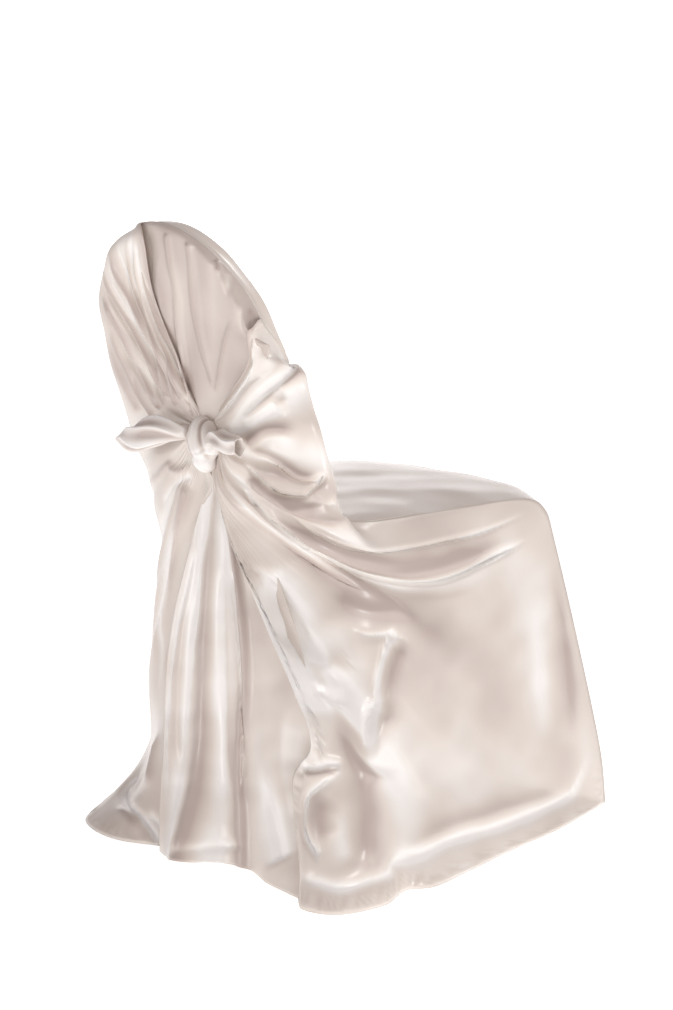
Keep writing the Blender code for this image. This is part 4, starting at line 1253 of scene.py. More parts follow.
# What the left wing's small pleats and the troughs between them share: half width, height, form and fades
PLEAT = (0.0032, 0.006, Profile.RIDGE, (0.2, 0.05))
PLEAT_TROUGH = (0.0045, 0.0052, Profile.TROUGH, (0.2, 0.05))
LEFT_CREASES: tuple[Crease, ...] = (
    Crease("inner edge", ((0.011, 0.881), (0.024, 0.68), (0.028, 0.537), (0.031, 0.403), (0.032, 0.29),
                          (0.049, 0.135), (0.144, 0.043)), 0.0032, 0.006, Profile.RIDGE, (0.1, 0.05)),
    Crease("trough by the inner edge", ((0.017, 0.824), (0.033, 0.663), (0.043, 0.52), (0.049, 0.379),
                                        (0.058, 0.256), (0.124, 0.135)),
           0.0045, 0.0052, Profile.TROUGH, (0.1, 0.05)),
    Crease("second pleat", ((0.019, 0.914), (0.026, 0.761), (0.036, 0.653), (0.045, 0.5), (0.052, 0.38),
                            (0.067, 0.272), (0.135, 0.147)), *PLEAT),
    Crease("second trough", ((0.026, 0.879), (0.031, 0.743), (0.044, 0.629), (0.052, 0.483),
                             (0.065, 0.356), (0.112, 0.249), (0.183, 0.154)), *PLEAT_TROUGH),
    Crease("third pleat", ((0.04, 0.857), (0.045, 0.694), (0.056, 0.581), (0.062, 0.447), (0.093, 0.357),
                           (0.127, 0.248), (0.198, 0.178)), *PLEAT),
    Crease("third trough", ((0.062, 0.807), (0.066, 0.682), (0.065, 0.581), (0.075, 0.444),
                            (0.111, 0.336), (0.184, 0.224)), *PLEAT_TROUGH),
    Crease("fourth pleat", ((0.076, 0.774), (0.088, 0.698), (0.091, 0.615), (0.101, 0.5), (0.117, 0.365),
                            (0.183, 0.251)), *PLEAT),
    Crease("fourth trough", ((0.098, 0.827), (0.106, 0.717), (0.115, 0.616), (0.122, 0.502),
                             (0.142, 0.367), (0.212, 0.266)), *PLEAT_TROUGH),
    Crease("fifth pleat", ((0.108, 0.78), (0.116, 0.699), (0.128, 0.607), (0.138, 0.497), (0.171, 0.396),
                           (0.223, 0.288)), *PLEAT),
    Crease("fifth trough", ((0.124, 0.761), (0.134, 0.693), (0.149, 0.616), (0.175, 0.544),
                            (0.202, 0.431), (0.243, 0.34)), *PLEAT_TROUGH),
    Crease("sixth pleat", ((0.14, 0.705), (0.159, 0.64), (0.185, 0.58), (0.208, 0.47), (0.246, 0.375)),
           0.0032, 0.006, Profile.RIDGE, (0.15, 0.05)),
    Crease("sixth trough", ((0.156, 0.698), (0.181, 0.658), (0.206, 0.593), (0.238, 0.539), (0.267, 0.46)),
           0.008, 0.005, Profile.TROUGH, (0.2, 0.05)),
    Crease("plain cloth", ((0.164, 0.743), (0.202, 0.695), (0.235, 0.655), (0.269, 0.597)),
           0.018, 0.0045, Profile.TROUGH, (0.3, 0.1)),
    Crease("crease to the waist", ((0.661, 0.085), (0.428, 0.27), (0.406, 0.463), (0.389, 0.736)),
           0.006, 0.004, Profile.TROUGH, (0.1, 0.3)),
    Crease("fold to the waist", ((0.79, 0.097), (0.546, 0.228), (0.518, 0.327), (0.547, 0.367)),
           0.007, 0.004, Profile.RIDGE, (0.1, 0.3)),
    Crease("crease down the drape", ((0.822, 0.16), (0.827, 0.275), (0.889, 0.357), (0.92, 0.472)),
           0.009, 0.005, Profile.TROUGH, (0.1, 0.3)),
    Crease("fold down the drape", ((0.729, 0.267), (0.809, 0.377), (0.91, 0.508), (0.931, 0.642)),
           0.011, 0.004, Profile.RIDGE, (0.2, 0.3)),
    Crease("hollow over the curl", ((0.952, 0.714), (0.954, 0.789), (0.953, 0.858)),
           0.014, 0.006, Profile.TROUGH, (0.3, 0.3)),
    Crease("curl", ((0.893, 0.843), (0.887, 0.895), (0.906, 0.894), (0.942, 0.921), (0.955, 0.961),
                    (0.96, 0.997)), 0.006, 0.008, Profile.RIDGE, (0.1, 0.1)),
    Crease("hollow under the curl", ((0.91, 0.918), (0.934, 0.934), (0.948, 0.97)),
           0.009, 0.004, Profile.TROUGH, (0.3, 0.3)),
    Crease("inner leaf", ((0.952, 0.913), (0.961, 0.938), (0.965, 0.967)), 0.006, 0.005),
)
REAR_CREASES: tuple[Crease, ...] = (
    Crease("first pleat line", ((0.043, 0.274), (0.076, 0.329), (0.111, 0.395), (0.174, 0.424),
                                (0.243, 0.438), (0.295, 0.426)),
           0.0035, 0.0034, Profile.TROUGH, (0.02, 0.1)),
    Crease("beside it", ((0.044, 0.304), (0.08, 0.377), (0.119, 0.451), (0.189, 0.482), (0.259, 0.511)),
           0.005, 0.0012, Profile.RIDGE, (0.02, 0.2)),
    Crease("second pleat line", ((0.037, 0.417), (0.071, 0.471), (0.101, 0.515), (0.142, 0.577),
                                 (0.204, 0.626), (0.265, 0.725)),
           0.0035, 0.0034, Profile.TROUGH, (0.02, 0.1)),
    Crease("right of the second", ((0.035, 0.461), (0.07, 0.523), (0.106, 0.583), (0.164, 0.635),
                                   (0.228, 0.688)), 0.005, 0.0012, Profile.RIDGE, (0.02, 0.2)),
    Crease("third pleat line", ((0.087, 0.788), (0.143, 0.753), (0.214, 0.734), (0.271, 0.75)),
           0.0035, 0.003, Profile.TROUGH, (0.2, 0.1)),
    Crease("broad hollow", ((0.081, 0.245), (0.118, 0.303), (0.17, 0.357), (0.221, 0.386), (0.274, 0.399)),
           0.012, 0.0015, Profile.TROUGH, (0.2, 0.1)),
    Crease("left pleat", ((0.051, 0.131), (0.082, 0.189), (0.115, 0.255), (0.154, 0.326)),
           0.005, 0.0012, Profile.RIDGE, (0.05, 0.3)),
    Crease("right pleat", ((0.029, 0.6), (0.083, 0.655), (0.15, 0.68), (0.228, 0.695)),
           0.01, 0.001, Profile.RIDGE, (0.1, 0.2)),
    Crease("light leaf", ((0.024, 0.855), (0.083, 0.831), (0.132, 0.851)), 0.007, 0.004),
    Crease("dark leaf", ((0.012, 0.898), (0.016, 0.968), (0.036, 0.983)),
           0.006, 0.005, Profile.TROUGH, (0.3, 0.3)),
    Crease("tuck at the seam", ((0.009, 0.626), (0.026, 0.645), (0.044, 0.65)),
           0.004, 0.005, Profile.TROUGH, (0.1, 0.4)),
    Crease("leaf at the seam", ((0.0, 0.732), (0.027, 0.735), (0.065, 0.733)),
           0.006, 0.004, Profile.RIDGE, (0.2, 0.4)),
    Crease("tail, strong edge", ((0.561, 0.483), (0.644, 0.499), (0.746, 0.532), (0.83, 0.572),
                                 (0.916, 0.583)), 0.007, 0.009, Profile.LAP_DOWN, (0.1, 0.2)),
    Crease("tail, trough before it", ((0.55, 0.408), (0.647, 0.429), (0.752, 0.446), (0.836, 0.48),
                                      (0.927, 0.526)), 0.011, 0.0045, Profile.TROUGH, (0.2, 0.2)),
    Crease("tail, first soft fold", ((0.412, 0.0), (0.525, 0.097), (0.657, 0.182), (0.807, 0.173)),
           0.008, 0.003, Profile.RIDGE, (0.1, 0.4)),
    Crease("tail, second soft fold", ((0.409, 0.278), (0.552, 0.316), (0.712, 0.341), (0.856, 0.35)),
           0.012, 0.003, Profile.RIDGE, (0.1, 0.4)),
    Crease("tail, left hollow", ((0.594, 0.077), (0.708, 0.095), (0.825, 0.095), (0.919, 0.166)),
           0.01, 0.003, Profile.TROUGH, (0.3, 0.3)),
    Crease("tail, left edge roll", ((0.534, 0.045), (0.603, 0.054), (0.671, 0.044), (0.726, 0.036),
                                    (0.8, 0.021), (0.871, 0.022), (0.939, 0.058)),
           0.005, 0.005, Profile.RIDGE, (0.1, 0.2)),
    Crease("tail, hem kink", ((0.99, 0.179), (0.981, 0.338), (0.975, 0.45), (0.966, 0.612)),
           0.007, 0.003, Profile.RIDGE, (0.1, 0.2)),
    Crease("tail, right bulge", ((0.837, 0.661), (0.887, 0.727), (0.93, 0.792), (0.967, 0.844)),
           0.022, 0.009, Profile.RIDGE, (0.4, 0.1)),
)

# Each row is named and runs over places that stand at the same shares, from left to right
REAR_SHARES = (0.0, 0.22, 0.58, 0.80, 1.0)
REAR_ROWS = (
    ("shoulders", (-0.130, -0.287, 0.800), (-0.068, -0.287, 0.786), (0.032, -0.280, 0.762),
     (0.105, -0.276, 0.752), (0.176, -0.272, 0.742)),
    ("chest", (-0.135, -0.264, 0.715), (-0.077, -0.269, 0.709), (0.019, -0.270, 0.700),
     (0.077, -0.266, 0.695), (0.130, -0.258, 0.690)),
    ("above the knot", (-0.100, -0.250, 0.650), (-0.059, -0.257, 0.650), (0.007, -0.264, 0.650),
     (0.048, -0.262, 0.650), (0.085, -0.252, 0.650)),
    ("knot", (-0.016, -0.258, 0.604), (0.056, -0.258, 0.604)),
    ("below the knot", (0.000, -0.252, 0.550), (0.068, -0.248, 0.550)),
    ("waist", (-0.014, -0.265, 0.460), (0.125, -0.247, 0.460)),
    ("thigh", (-0.046, -0.288, 0.310), (0.012, -0.282, 0.310), (0.108, -0.268, 0.310),
     (0.165, -0.263, 0.310), (0.215, -0.255, 0.310)),
    ("calf", (-0.030, -0.324, 0.113), (0.028, -0.316, 0.113), (0.124, -0.290, 0.113),
     (0.206, -0.300, 0.113), (0.272, -0.278, 0.113)),
    ("hem", (0.008, -0.362, 0.0), (0.050, -0.372, 0.0), (0.148, -0.312, 0.0), (0.222, -0.330, 0.0),
     (0.300, -0.335, 0.0)),
)
REAR_STATIONS = (0.0, 0.035, 0.13, 0.22, 0.29, 0.35, 0.41, 0.51, 0.68, 0.88, 1.0)
PLEATS = (
    # name, share across, half width, height at each station
    ("left ridge", 0.14, 0.06,
     (0, 0, 0.001, 0.001, 0.001, 0.002, 0.003, 0.004, 0.005, 0.005, 0.004)),
    ("left valley", 0.27, 0.06,
     (0, 0, -0.001, -0.002, -0.002, -0.002, -0.003, -0.004, -0.006, -0.007, -0.006)),
    ("middle ridge", 0.42, 0.07,
     (0, 0, 0.001, 0.001, 0.001, 0.002, 0.003, 0.004, 0.005, 0.005, 0.004)),
    ("strong valley", 0.56, 0.04,
     (0, 0, -0.001, -0.001, -0.001, -0.002, -0.004, -0.007, -0.009, -0.010, -0.008)),
)


@dataclass
class RearPanel:
    """The pleated piece that hangs from the crown, is pinched by the knot and falls as a tail.

    Attributes:
        hood: The hood that it hangs from.
        knot: The knot that pinches it.
        rows: Number of steps down it.
        rim_share: How far across the hood's rim its second row stands.
        past_wings: How far its second row runs past the start of the left wing and of the right one.
        creases: Its folds, as listed.
        shade: Painted shade on its upper part, which lies back: how much lower that part counts in the
            colour, in metres.
        seeds: Which patterns its dents have.
        broad: How broad its broad dents are and how deep.
        narrow: The same of its narrow dents.
        free_from: The place from which its right edge is free and stitched.
        stitches_stop: Points left off at the end of its edge's stitches, and at both ends of its hem's.
        hem_lines: The lines of its stitches, once it has its shape.
    """

    hood: Hood
    knot: KnotForm
    rows: int = 260
    rim_share: float = 0.04
    past_wings: tuple[float, float] = (-0.02, 0.05)
    creases: Sequence[Crease] = ()
    shade: float = 0.0035
    seeds: tuple[int, int] = (31, 32)
    broad: tuple[float, float] = (0.10, 0.0007)
    narrow: tuple[float, float] = (0.04, 0.0002)
    free_from: float = 0.48
    stitches_stop: tuple[int, int] = (8, 6)
    hem_lines: list[np.ndarray] = field(default_factory=list)

    def base(self, top: np.ndarray) -> Sheet:
        """Hang the panel from its seam.

        Args:
            top: The tucked line at the crown.

        Returns:
            The sheet, whose rows run down it and whose columns run across it.
        """
        columns = len(top)
        shares = np.linspace(0.0, 1.0, columns)
        ways = np.linspace(self.hood.left_wing[0] + self.past_wings[0],
                           self.hood.right_wing[0] + self.past_wings[1], columns)
        lines = [top, self.hood.points(ways, self.rim_share)]
        for _, *spots in REAR_ROWS:
            stations = REAR_SHARES if len(spots) > 2 else (0.0, 1.0)
            lines.append(through(stations, spots, shares))
        places = np.linspace(0.0, 1.0, self.rows + 1)
        sheet = Sheet(through(REAR_STATIONS, np.array(lines), places), places, shares)
        lift = np.zeros(sheet.grid.shape[:2])
        for _, place, width, heights in PLEATS:
            size = np.interp(places, REAR_STATIONS, heights)
            lift += size[:, None] * np.exp(-((shares[None, :] - place) / width) ** 2)
        sheet.raise_by(lift)
        return sheet

    def shape(self, top: np.ndarray) -> Sheet:
        """Return the panel with its creases and its unevenness."""
        sheet = self.base(top)
        freedom = ease(0.0, 0.02, sheet.places)[:, None] * np.ones(len(sheet.shares))
        sheet.crease(self.creases, freedom)
        sheet.raise_by(dents(sheet.grid, self.seeds, self.broad, self.narrow) * freedom)
        normals = sheet.normals()
        edge = inset_line(sheet.grid[:, ::-1], normals[:, ::-1], 1, HEM_INSET)
        hem = inset_line(sheet.grid, normals, 0, HEM_INSET)
        edge_stop, hem_stop = self.stitches_stop
        self.hem_lines = [edge[sheet.places > self.free_from][:-edge_stop], hem[hem_stop:-hem_stop]]
        return sheet

    def build(self, top: np.ndarray, material: bpy.types.Material) -> bpy.types.Object:
        """Make the panel's mesh object."""
        sheet = self.shape(top)
        solid = thicken(sheet.grid.reshape(-1, 3), sheet.faces(), metres_along(sheet.grid))
        # Painted shade: from the knot up to the hood's round top the panel is coloured darker, for the
        # shade that falls where it lies back
        painted_shade_mask = ease(self.knot.centre[2], self.hood.spring, sheet.grid[:, :, 2])
        return make_piece("satin_rear_panel", *solid, material, sheet.relief - self.shade * painted_shade_mask)


@dataclass(frozen=True)
class Wrinkle:
    """A soft ridge or trough on the knot, across a way through its middle.

    Attributes:
        way: The direction that the ring along which it runs faces.
        offset: How far along that direction the ring stands, where 1 is the knot's surface.
        height: How far it stands out, as a share of the knot's size.
        width: Half its width, in the measure of the offset.
    """

    way: Point
    offset: float
    height: float
    width: float


@dataclass
class Knot:
    """The knot: a smooth band over a bunched lobe.

    Attributes:
        form: Its place and size.
        wrinkles: Its ridges and troughs.
        rows: Number of steps from its top to its foot.
        columns: Number of steps round it.
        seed: Which pattern its dents have.
        dents: How broad its dents are and how deep, as shares of its size.
    """

    form: KnotForm
    wrinkles: Sequence[Wrinkle]
    rows: int = 96
    columns: int = 144
    seed: int = 41
    dents: tuple[float, float] = (1.1, 0.016)

    def build(self, material: bpy.types.Material) -> bpy.types.Object:
        """Make the knot's mesh object."""
        tilt = np.linspace(0.0, math.pi, self.rows + 1)[:, None]
        turn = np.linspace(0.0, 2 * math.pi, self.columns + 1)[None, :]
        ways = np.stack([np.sin(tilt) * np.cos(turn), np.sin(tilt) * np.sin(turn),
                         np.cos(tilt) * np.ones_like(turn)], axis=-1)
        size = np.ones(ways.shape[:2])
        for wrinkle in self.wrinkles:
            way = np.array(wrinkle.way) / np.linalg.norm(wrinkle.way)
            away = ways @ way - wrinkle.offset
            size += wrinkle.height * np.exp(-(away / wrinkle.width) ** 2)
        size += unevenness(ways, self.seed, *self.dents)
        grid = np.array(self.form.centre) + ways * np.array(self.form.radii) * size[:, :, None]
        grid[0], grid[-1], grid[:, -1] = grid[0, 0], grid[-1, 0], grid[:, 0]
        sheet = Sheet(grid, tilt.ravel(), turn.ravel(), flipped=True)
        points, faces, uv, numbers = weld([sheet])
        # The wrinkles' heights set painted shade in their troughs and painted highlights on their ridges
        relief = np.zeros(len(points))
        relief[numbers[0]] = (size - 1.0) * self.form.radii[2]
        return make_piece("satin_knot", points, faces, uv, material, relief)


# The rings inside a tie's open mouth: share of the lip's size, and share of the mouth's depth
MOUTH_RINGS = ((0.90, 0.0), (0.80, 0.25), (0.72, 0.6), (0.60, 1.0))


@dataclass(frozen=True)
class Section:
    """A ring of cloth round a place on a tie's end.

    Attributes:
        name: Which part of the tie it is.
        place: Its middle.
        depth: Half its size from front to back.
        width: Half its size up and down.
        ripple: How deep its creases are, as a share of its size.
    """

    name: str
    place: Point
    depth: float
    width: float
    ripple: float


@dataclass
class TieEnd:
    """A short free end of a tie, gathered at the knot.

    Attributes:
        name: The piece's name.
        sections: Its rings, from the knot outwards.
        ripples: Number of creases round it.
        hollow: How deep its open mouth goes, 0 where it ends in a point.
        twist: How far the creases turn round it on their way out.
        painted_crease_shading: How strongly its creases are painted into its colour, as shade in their
            hollows and highlights on their ridges.
        wander: How far its creases swing from side to side on their way out, and how often.
        sway: How far its broad ripple swells, and how often.
        steps: Number of rings.
        columns: Number of points in a ring.
    """

    name: str
    sections: Sequence[Section]
    ripples: int = 5
    hollow: float = 0.0
    twist: float = 0.0
    painted_crease_shading: float = 1.6
    wander: tuple[float, float] = (0.25, 7.0)
    sway: tuple[float, float] = (0.5, 9.2)
    steps: int = 90
    columns: int = 96

    def build(self, material: bpy.types.Material) -> bpy.types.Object:
        """Make the tie end's mesh object."""
        stations = np.linspace(0.0, 1.0, len(self.sections))
        table = [(*row.place, row.depth, row.width, row.ripple) for row in self.sections]
        places = np.linspace(0.0, 1.0, self.steps + 1)
        rows = through(stations, table, places)
        turn = np.linspace(0.0, 2 * math.pi, self.columns + 1)[None, :]
        wander = self.wander[0] * np.sin(self.wander[1] * places[:, None])
        swirl = self.ripples * (turn + self.twist * places[:, None] + wander)
        creased = 1.0 - 2.0 * np.abs(np.sin(swirl / 2))
        sway = self.sway[0] * np.cos(self.sway[1] * places[:, None] + 2 * turn)
        ripple = 1.0 + rows[:, 5:6] * (creased + sway)
        y = rows[:, 1:2] + rows[:, 3:4] * np.cos(turn) * ripple
        z = rows[:, 2:3] + rows[:, 4:5] * np.sin(turn) * ripple
        x = rows[:, 0:1] * np.ones_like(turn)
        grid = np.stack([x, y, z], axis=-1)
        grid[:, -1] = grid[:, 0]
        outwards = 1.0 if rows[-1, 0] > rows[0, 0] else -1.0
        rings = [grid]
        middle = grid[-1, :-1].mean(axis=0)
        if self.hollow:
            for share, depth in MOUTH_RINGS:
                ring = middle + (grid[-1] - middle) * share
                ring[:, 0] -= outwards * depth * self.hollow
                rings.append(ring[None])
            middle = middle - np.array([outwards * self.hollow, 0.0, 0.0])
        rings.append(np.broadcast_to(middle, (1, self.columns + 1, 3)))
        first = grid[0, :-1].mean(axis=0)
        whole = np.concatenate([np.broadcast_to(first, (1, self.columns + 1, 3)), *rings])
        sheet = Sheet(whole, np.arange(len(whole), dtype=float), turn.ravel(), flipped=outwards < 0)
        points, faces, uv, numbers = weld([sheet])
        # Painted shade and highlight along the creases
        relief = np.zeros(len(points))
        relief[numbers[0][1:self.steps + 2]] = (ripple - 1.0) * rows[:, 4:5] * self.painted_crease_shading
        return make_piece(self.name, points, faces, uv, material, relief)


@dataclass(frozen=True)
class Stitching:
    """Rows of machine stitches along the hems, made by Geometry Nodes.

    Attributes:
        name: The piece's name.
        pitch: From one stitch to the next, in metres.
        length: Length of a stitch.
        thread: Half the thread's thickness.
        seed: Which of the many slightly uneven rows is wanted.
        smallest: Size of the smallest stitch, as a share of the full one.
    """

    name: str
    pitch: float = 0.0036
    length: float = 0.0028
    thread: float = 0.00045
    seed: int = 7
    smallest: float = 0.9

    def tree(self) -> bpy.types.NodeTree:
        """Make the tree that turns a line into stitches."""
        tree = bpy.data.node_groups.new("stitches_along_a_line", "GeometryNodeTree")
        face = tree.interface.new_socket
        face(name="Line", in_out="INPUT", socket_type="NodeSocketGeometry")
        face(name="Pitch", in_out="INPUT", socket_type="NodeSocketFloat")
        face(name="Stitch", in_out="INPUT", socket_type="NodeSocketVector")
        face(name="Seed", in_out="INPUT", socket_type="NodeSocketInt")
        face(name="Finish", in_out="INPUT", socket_type="NodeSocketMaterial")
        face(name="Stitches", in_out="OUTPUT", socket_type="NodeSocketGeometry")
        kinds = ("NodeGroupInput", "GeometryNodeMeshToCurve", "GeometryNodeResampleCurve",
                 "GeometryNodeInputTangent", "FunctionNodeAlignRotationToVector",
                 "FunctionNodeRandomValue", "GeometryNodeMeshUVSphere", "GeometryNodeTransform",
                 "GeometryNodeInstanceOnPoints", "GeometryNodeRealizeInstances",
                 "GeometryNodeSetMaterial", "NodeGroupOutput")
        (given, curve, even, tangent, turn, chance, ball, shape,
         place, real, finish, result) = (tree.nodes.new(kind) for kind in kinds)
        even.mode = "LENGTH"
        turn.axis = "Z"
        chance.data_type = "FLOAT_VECTOR"
        chance.inputs[0].default_value = (self.smallest,) * 3
        for name, value in (("Segments", 8), ("Rings", 5), ("Radius", 1.0)):
            ball.inputs[name].default_value = value
        link = tree.links.new
        link(given.outputs["Line"], curve.inputs["Mesh"])
        link(curve.outputs["Curve"], even.inputs["Curve"])
        link(given.outputs["Pitch"], even.inputs["Length"])
        link(tangent.outputs["Tangent"], turn.inputs["Vector"])
        link(ball.outputs["Mesh"], shape.inputs["Geometry"])
        link(given.outputs["Stitch"], shape.inputs["Scale"])
        link(given.outputs["Seed"], chance.inputs["Seed"])
        link(even.outputs["Curve"], place.inputs["Points"])
        link(shape.outputs["Geometry"], place.inputs["Instance"])
        link(turn.outputs["Rotation"], place.inputs["Rotation"])
        link(chance.outputs[0], place.inputs["Scale"])
        link(place.outputs["Instances"], real.inputs["Geometry"])
        link(real.outputs["Geometry"], finish.inputs["Geometry"])
        link(given.outputs["Finish"], finish.inputs["Material"])
        link(finish.outputs["Geometry"], result.inputs["Stitches"])
        return tree

    def build(self, lines: Sequence[np.ndarray], material: bpy.types.Material) -> bpy.types.Object:
        """Make the stitches along lines.

        Args:
            lines: Points along each line, in the seat's coordinates.
            material: The thread's finish.

        Returns:
            The stitches as one plain mesh object.
        """
        points, edges = [], []
        for line in lines:
            first = len(points)
            points.extend((line + SEAT_SHIFT).tolist())
            edges.extend((first + number, first + number + 1) for number in range(len(line) - 1))
        mesh = bpy.data.meshes.new(self.name + "_line")
        mesh.from_pydata(points, edges, [])
        guide = bpy.data.objects.new(self.name + "_line", mesh)
        bpy.context.scene.collection.objects.link(guide)
        modifier = guide.modifiers.new("stitches", "NODES")
        modifier.node_group = self.tree()
        half = (self.thread, self.thread, self.length / 2)
        values = {"Pitch": self.pitch, "Stitch": half, "Seed": self.seed, "Finish": material}
        for item in modifier.node_group.interface.items_tree:
            if item.name in values:
                modifier[item.identifier] = values[item.name]
        bpy.context.view_layer.update()
        graph = bpy.context.evaluated_depsgraph_get()
        plain = bpy.data.meshes.new_from_object(guide.evaluated_get(graph))
        guide.modifiers.remove(modifier)
        bpy.data.objects.remove(guide)
        plain.name = self.name
        plain.shade_smooth()
        piece = bpy.data.objects.new(self.name, plain)
        bpy.context.scene.collection.objects.link(piece)
        LOG.info("%s: %d points", self.name, len(plain.vertices))
        return piece


KNOT_WRINKLES = (
    Wrinkle((0.96, 0.0, 0.28), -0.50, -0.17, 0.10),
    Wrinkle((0.96, 0.0, 0.28), 0.52, -0.16, 0.10),
    Wrinkle((0.96, 0.0, 0.28), 0.08, 0.05, 0.30),
    Wrinkle((0.1, 0.0, -0.99), 0.60, -0.12, 0.10),
    Wrinkle((0.92, 0.1, 0.38), -0.10, -0.03, 0.06),
    Wrinkle((0.98, -0.1, 0.18), 0.22, -0.03, 0.05),
    Wrinkle((0.99, 0.0, 0.12), -0.26, -0.035, 0.05),
    Wrinkle((0.3, 0.1, -0.95), 0.35, -0.04, 0.07),
    Wrinkle((0.62, -0.2, -0.75), 0.95, 0.20, 0.34),
    Wrinkle((0.05, -0.2, -0.98), 0.98, 0.12, 0.30),
)
LEFT_TIE = (
    Section("at the knot", (-0.0050, -0.276, 0.606), 0.008, 0.010, 0.04),
    Section("neck", (-0.035, -0.284, 0.605), 0.010, 0.015, 0.15),
    Section("shoulder", (-0.070, -0.290, 0.600), 0.012, 0.021, 0.17),
    Section("belly", (-0.105, -0.291, 0.590), 0.011, 0.022, 0.16),
    Section("taper", (-0.138, -0.288, 0.582), 0.008, 0.016, 0.13),
    Section("tip", (-0.170, -0.284, 0.578), 0.002, 0.003, 0.0),
)
RIGHT_TIE = (
    Section("at the knot", (0.0480, -0.280, 0.602), 0.008, 0.010, 0.05),
    Section("neck", (0.072, -0.288, 0.606), 0.011, 0.013, 0.14),
    Section("belly", (0.098, -0.293, 0.606), 0.012, 0.014, 0.15),
    Section("mouth", (0.124, -0.296, 0.604), 0.012, 0.015, 0.13),
    Section("lip", (0.136, -0.297, 0.603), 0.010, 0.013, 0.08),
)


@dataclass(frozen=True)
class Lamp:
    """A soft square light, hung by the camera's own place.

    Attributes:
        name: The light's name.
        towards: Share of the way from the seat's spot to the camera.
        rightwards: How far it then hangs to the camera's right, in metres.
        shift: How far it is moved from there.
        aim: The point that it faces.
        size: Its side, in metres.
        power: Its power, in watts.
    """

    name: str
    towards: float
    rightwards: float
    shift: Point
    aim: Point
    size: float
    power: float

    def hang(self, place: np.ndarray, right: np.ndarray) -> None:
        """Make the light.

        Args:
            place: The camera's place.
            right: The camera's way to the right.
        """
        data = bpy.data.lights.new(self.name, "AREA")
        data.size = self.size
        data.energy = self.power
        lamp = bpy.data.objects.new(self.name, data)
        spot = place * self.towards + right * self.rightwards + np.array(self.shift)
        lamp.location = tuple(spot)
        lamp.rotation_euler = (Vector(self.aim) - Vector(tuple(spot))).to_track_quat("-Z", "Y").to_euler()
        bpy.context.scene.collection.objects.link(lamp)


LAMPS = (
    Lamp("front_softbox", 0.70, 1.0, (0.0, 0.0, -0.35), (0.0, -0.1, 0.0), 0.45, 8.8),
    Lamp("right_softbox", 0.35, 2.4, (0.0, 0.0, 0.0), (0.0, 0.0, 0.2), 0.6, 2.0),
    Lamp("left_softbox", 0.45, -2.2, (0.0, 0.0, -0.2), (-0.15, -0.3, 0.0), 0.5, 5.0),
    Lamp("top_softbox", 0.0, 0.0, (0.5, 0.9, 2.7), (0.1, 0.1, 0.4), 0.6, 14.0),
)


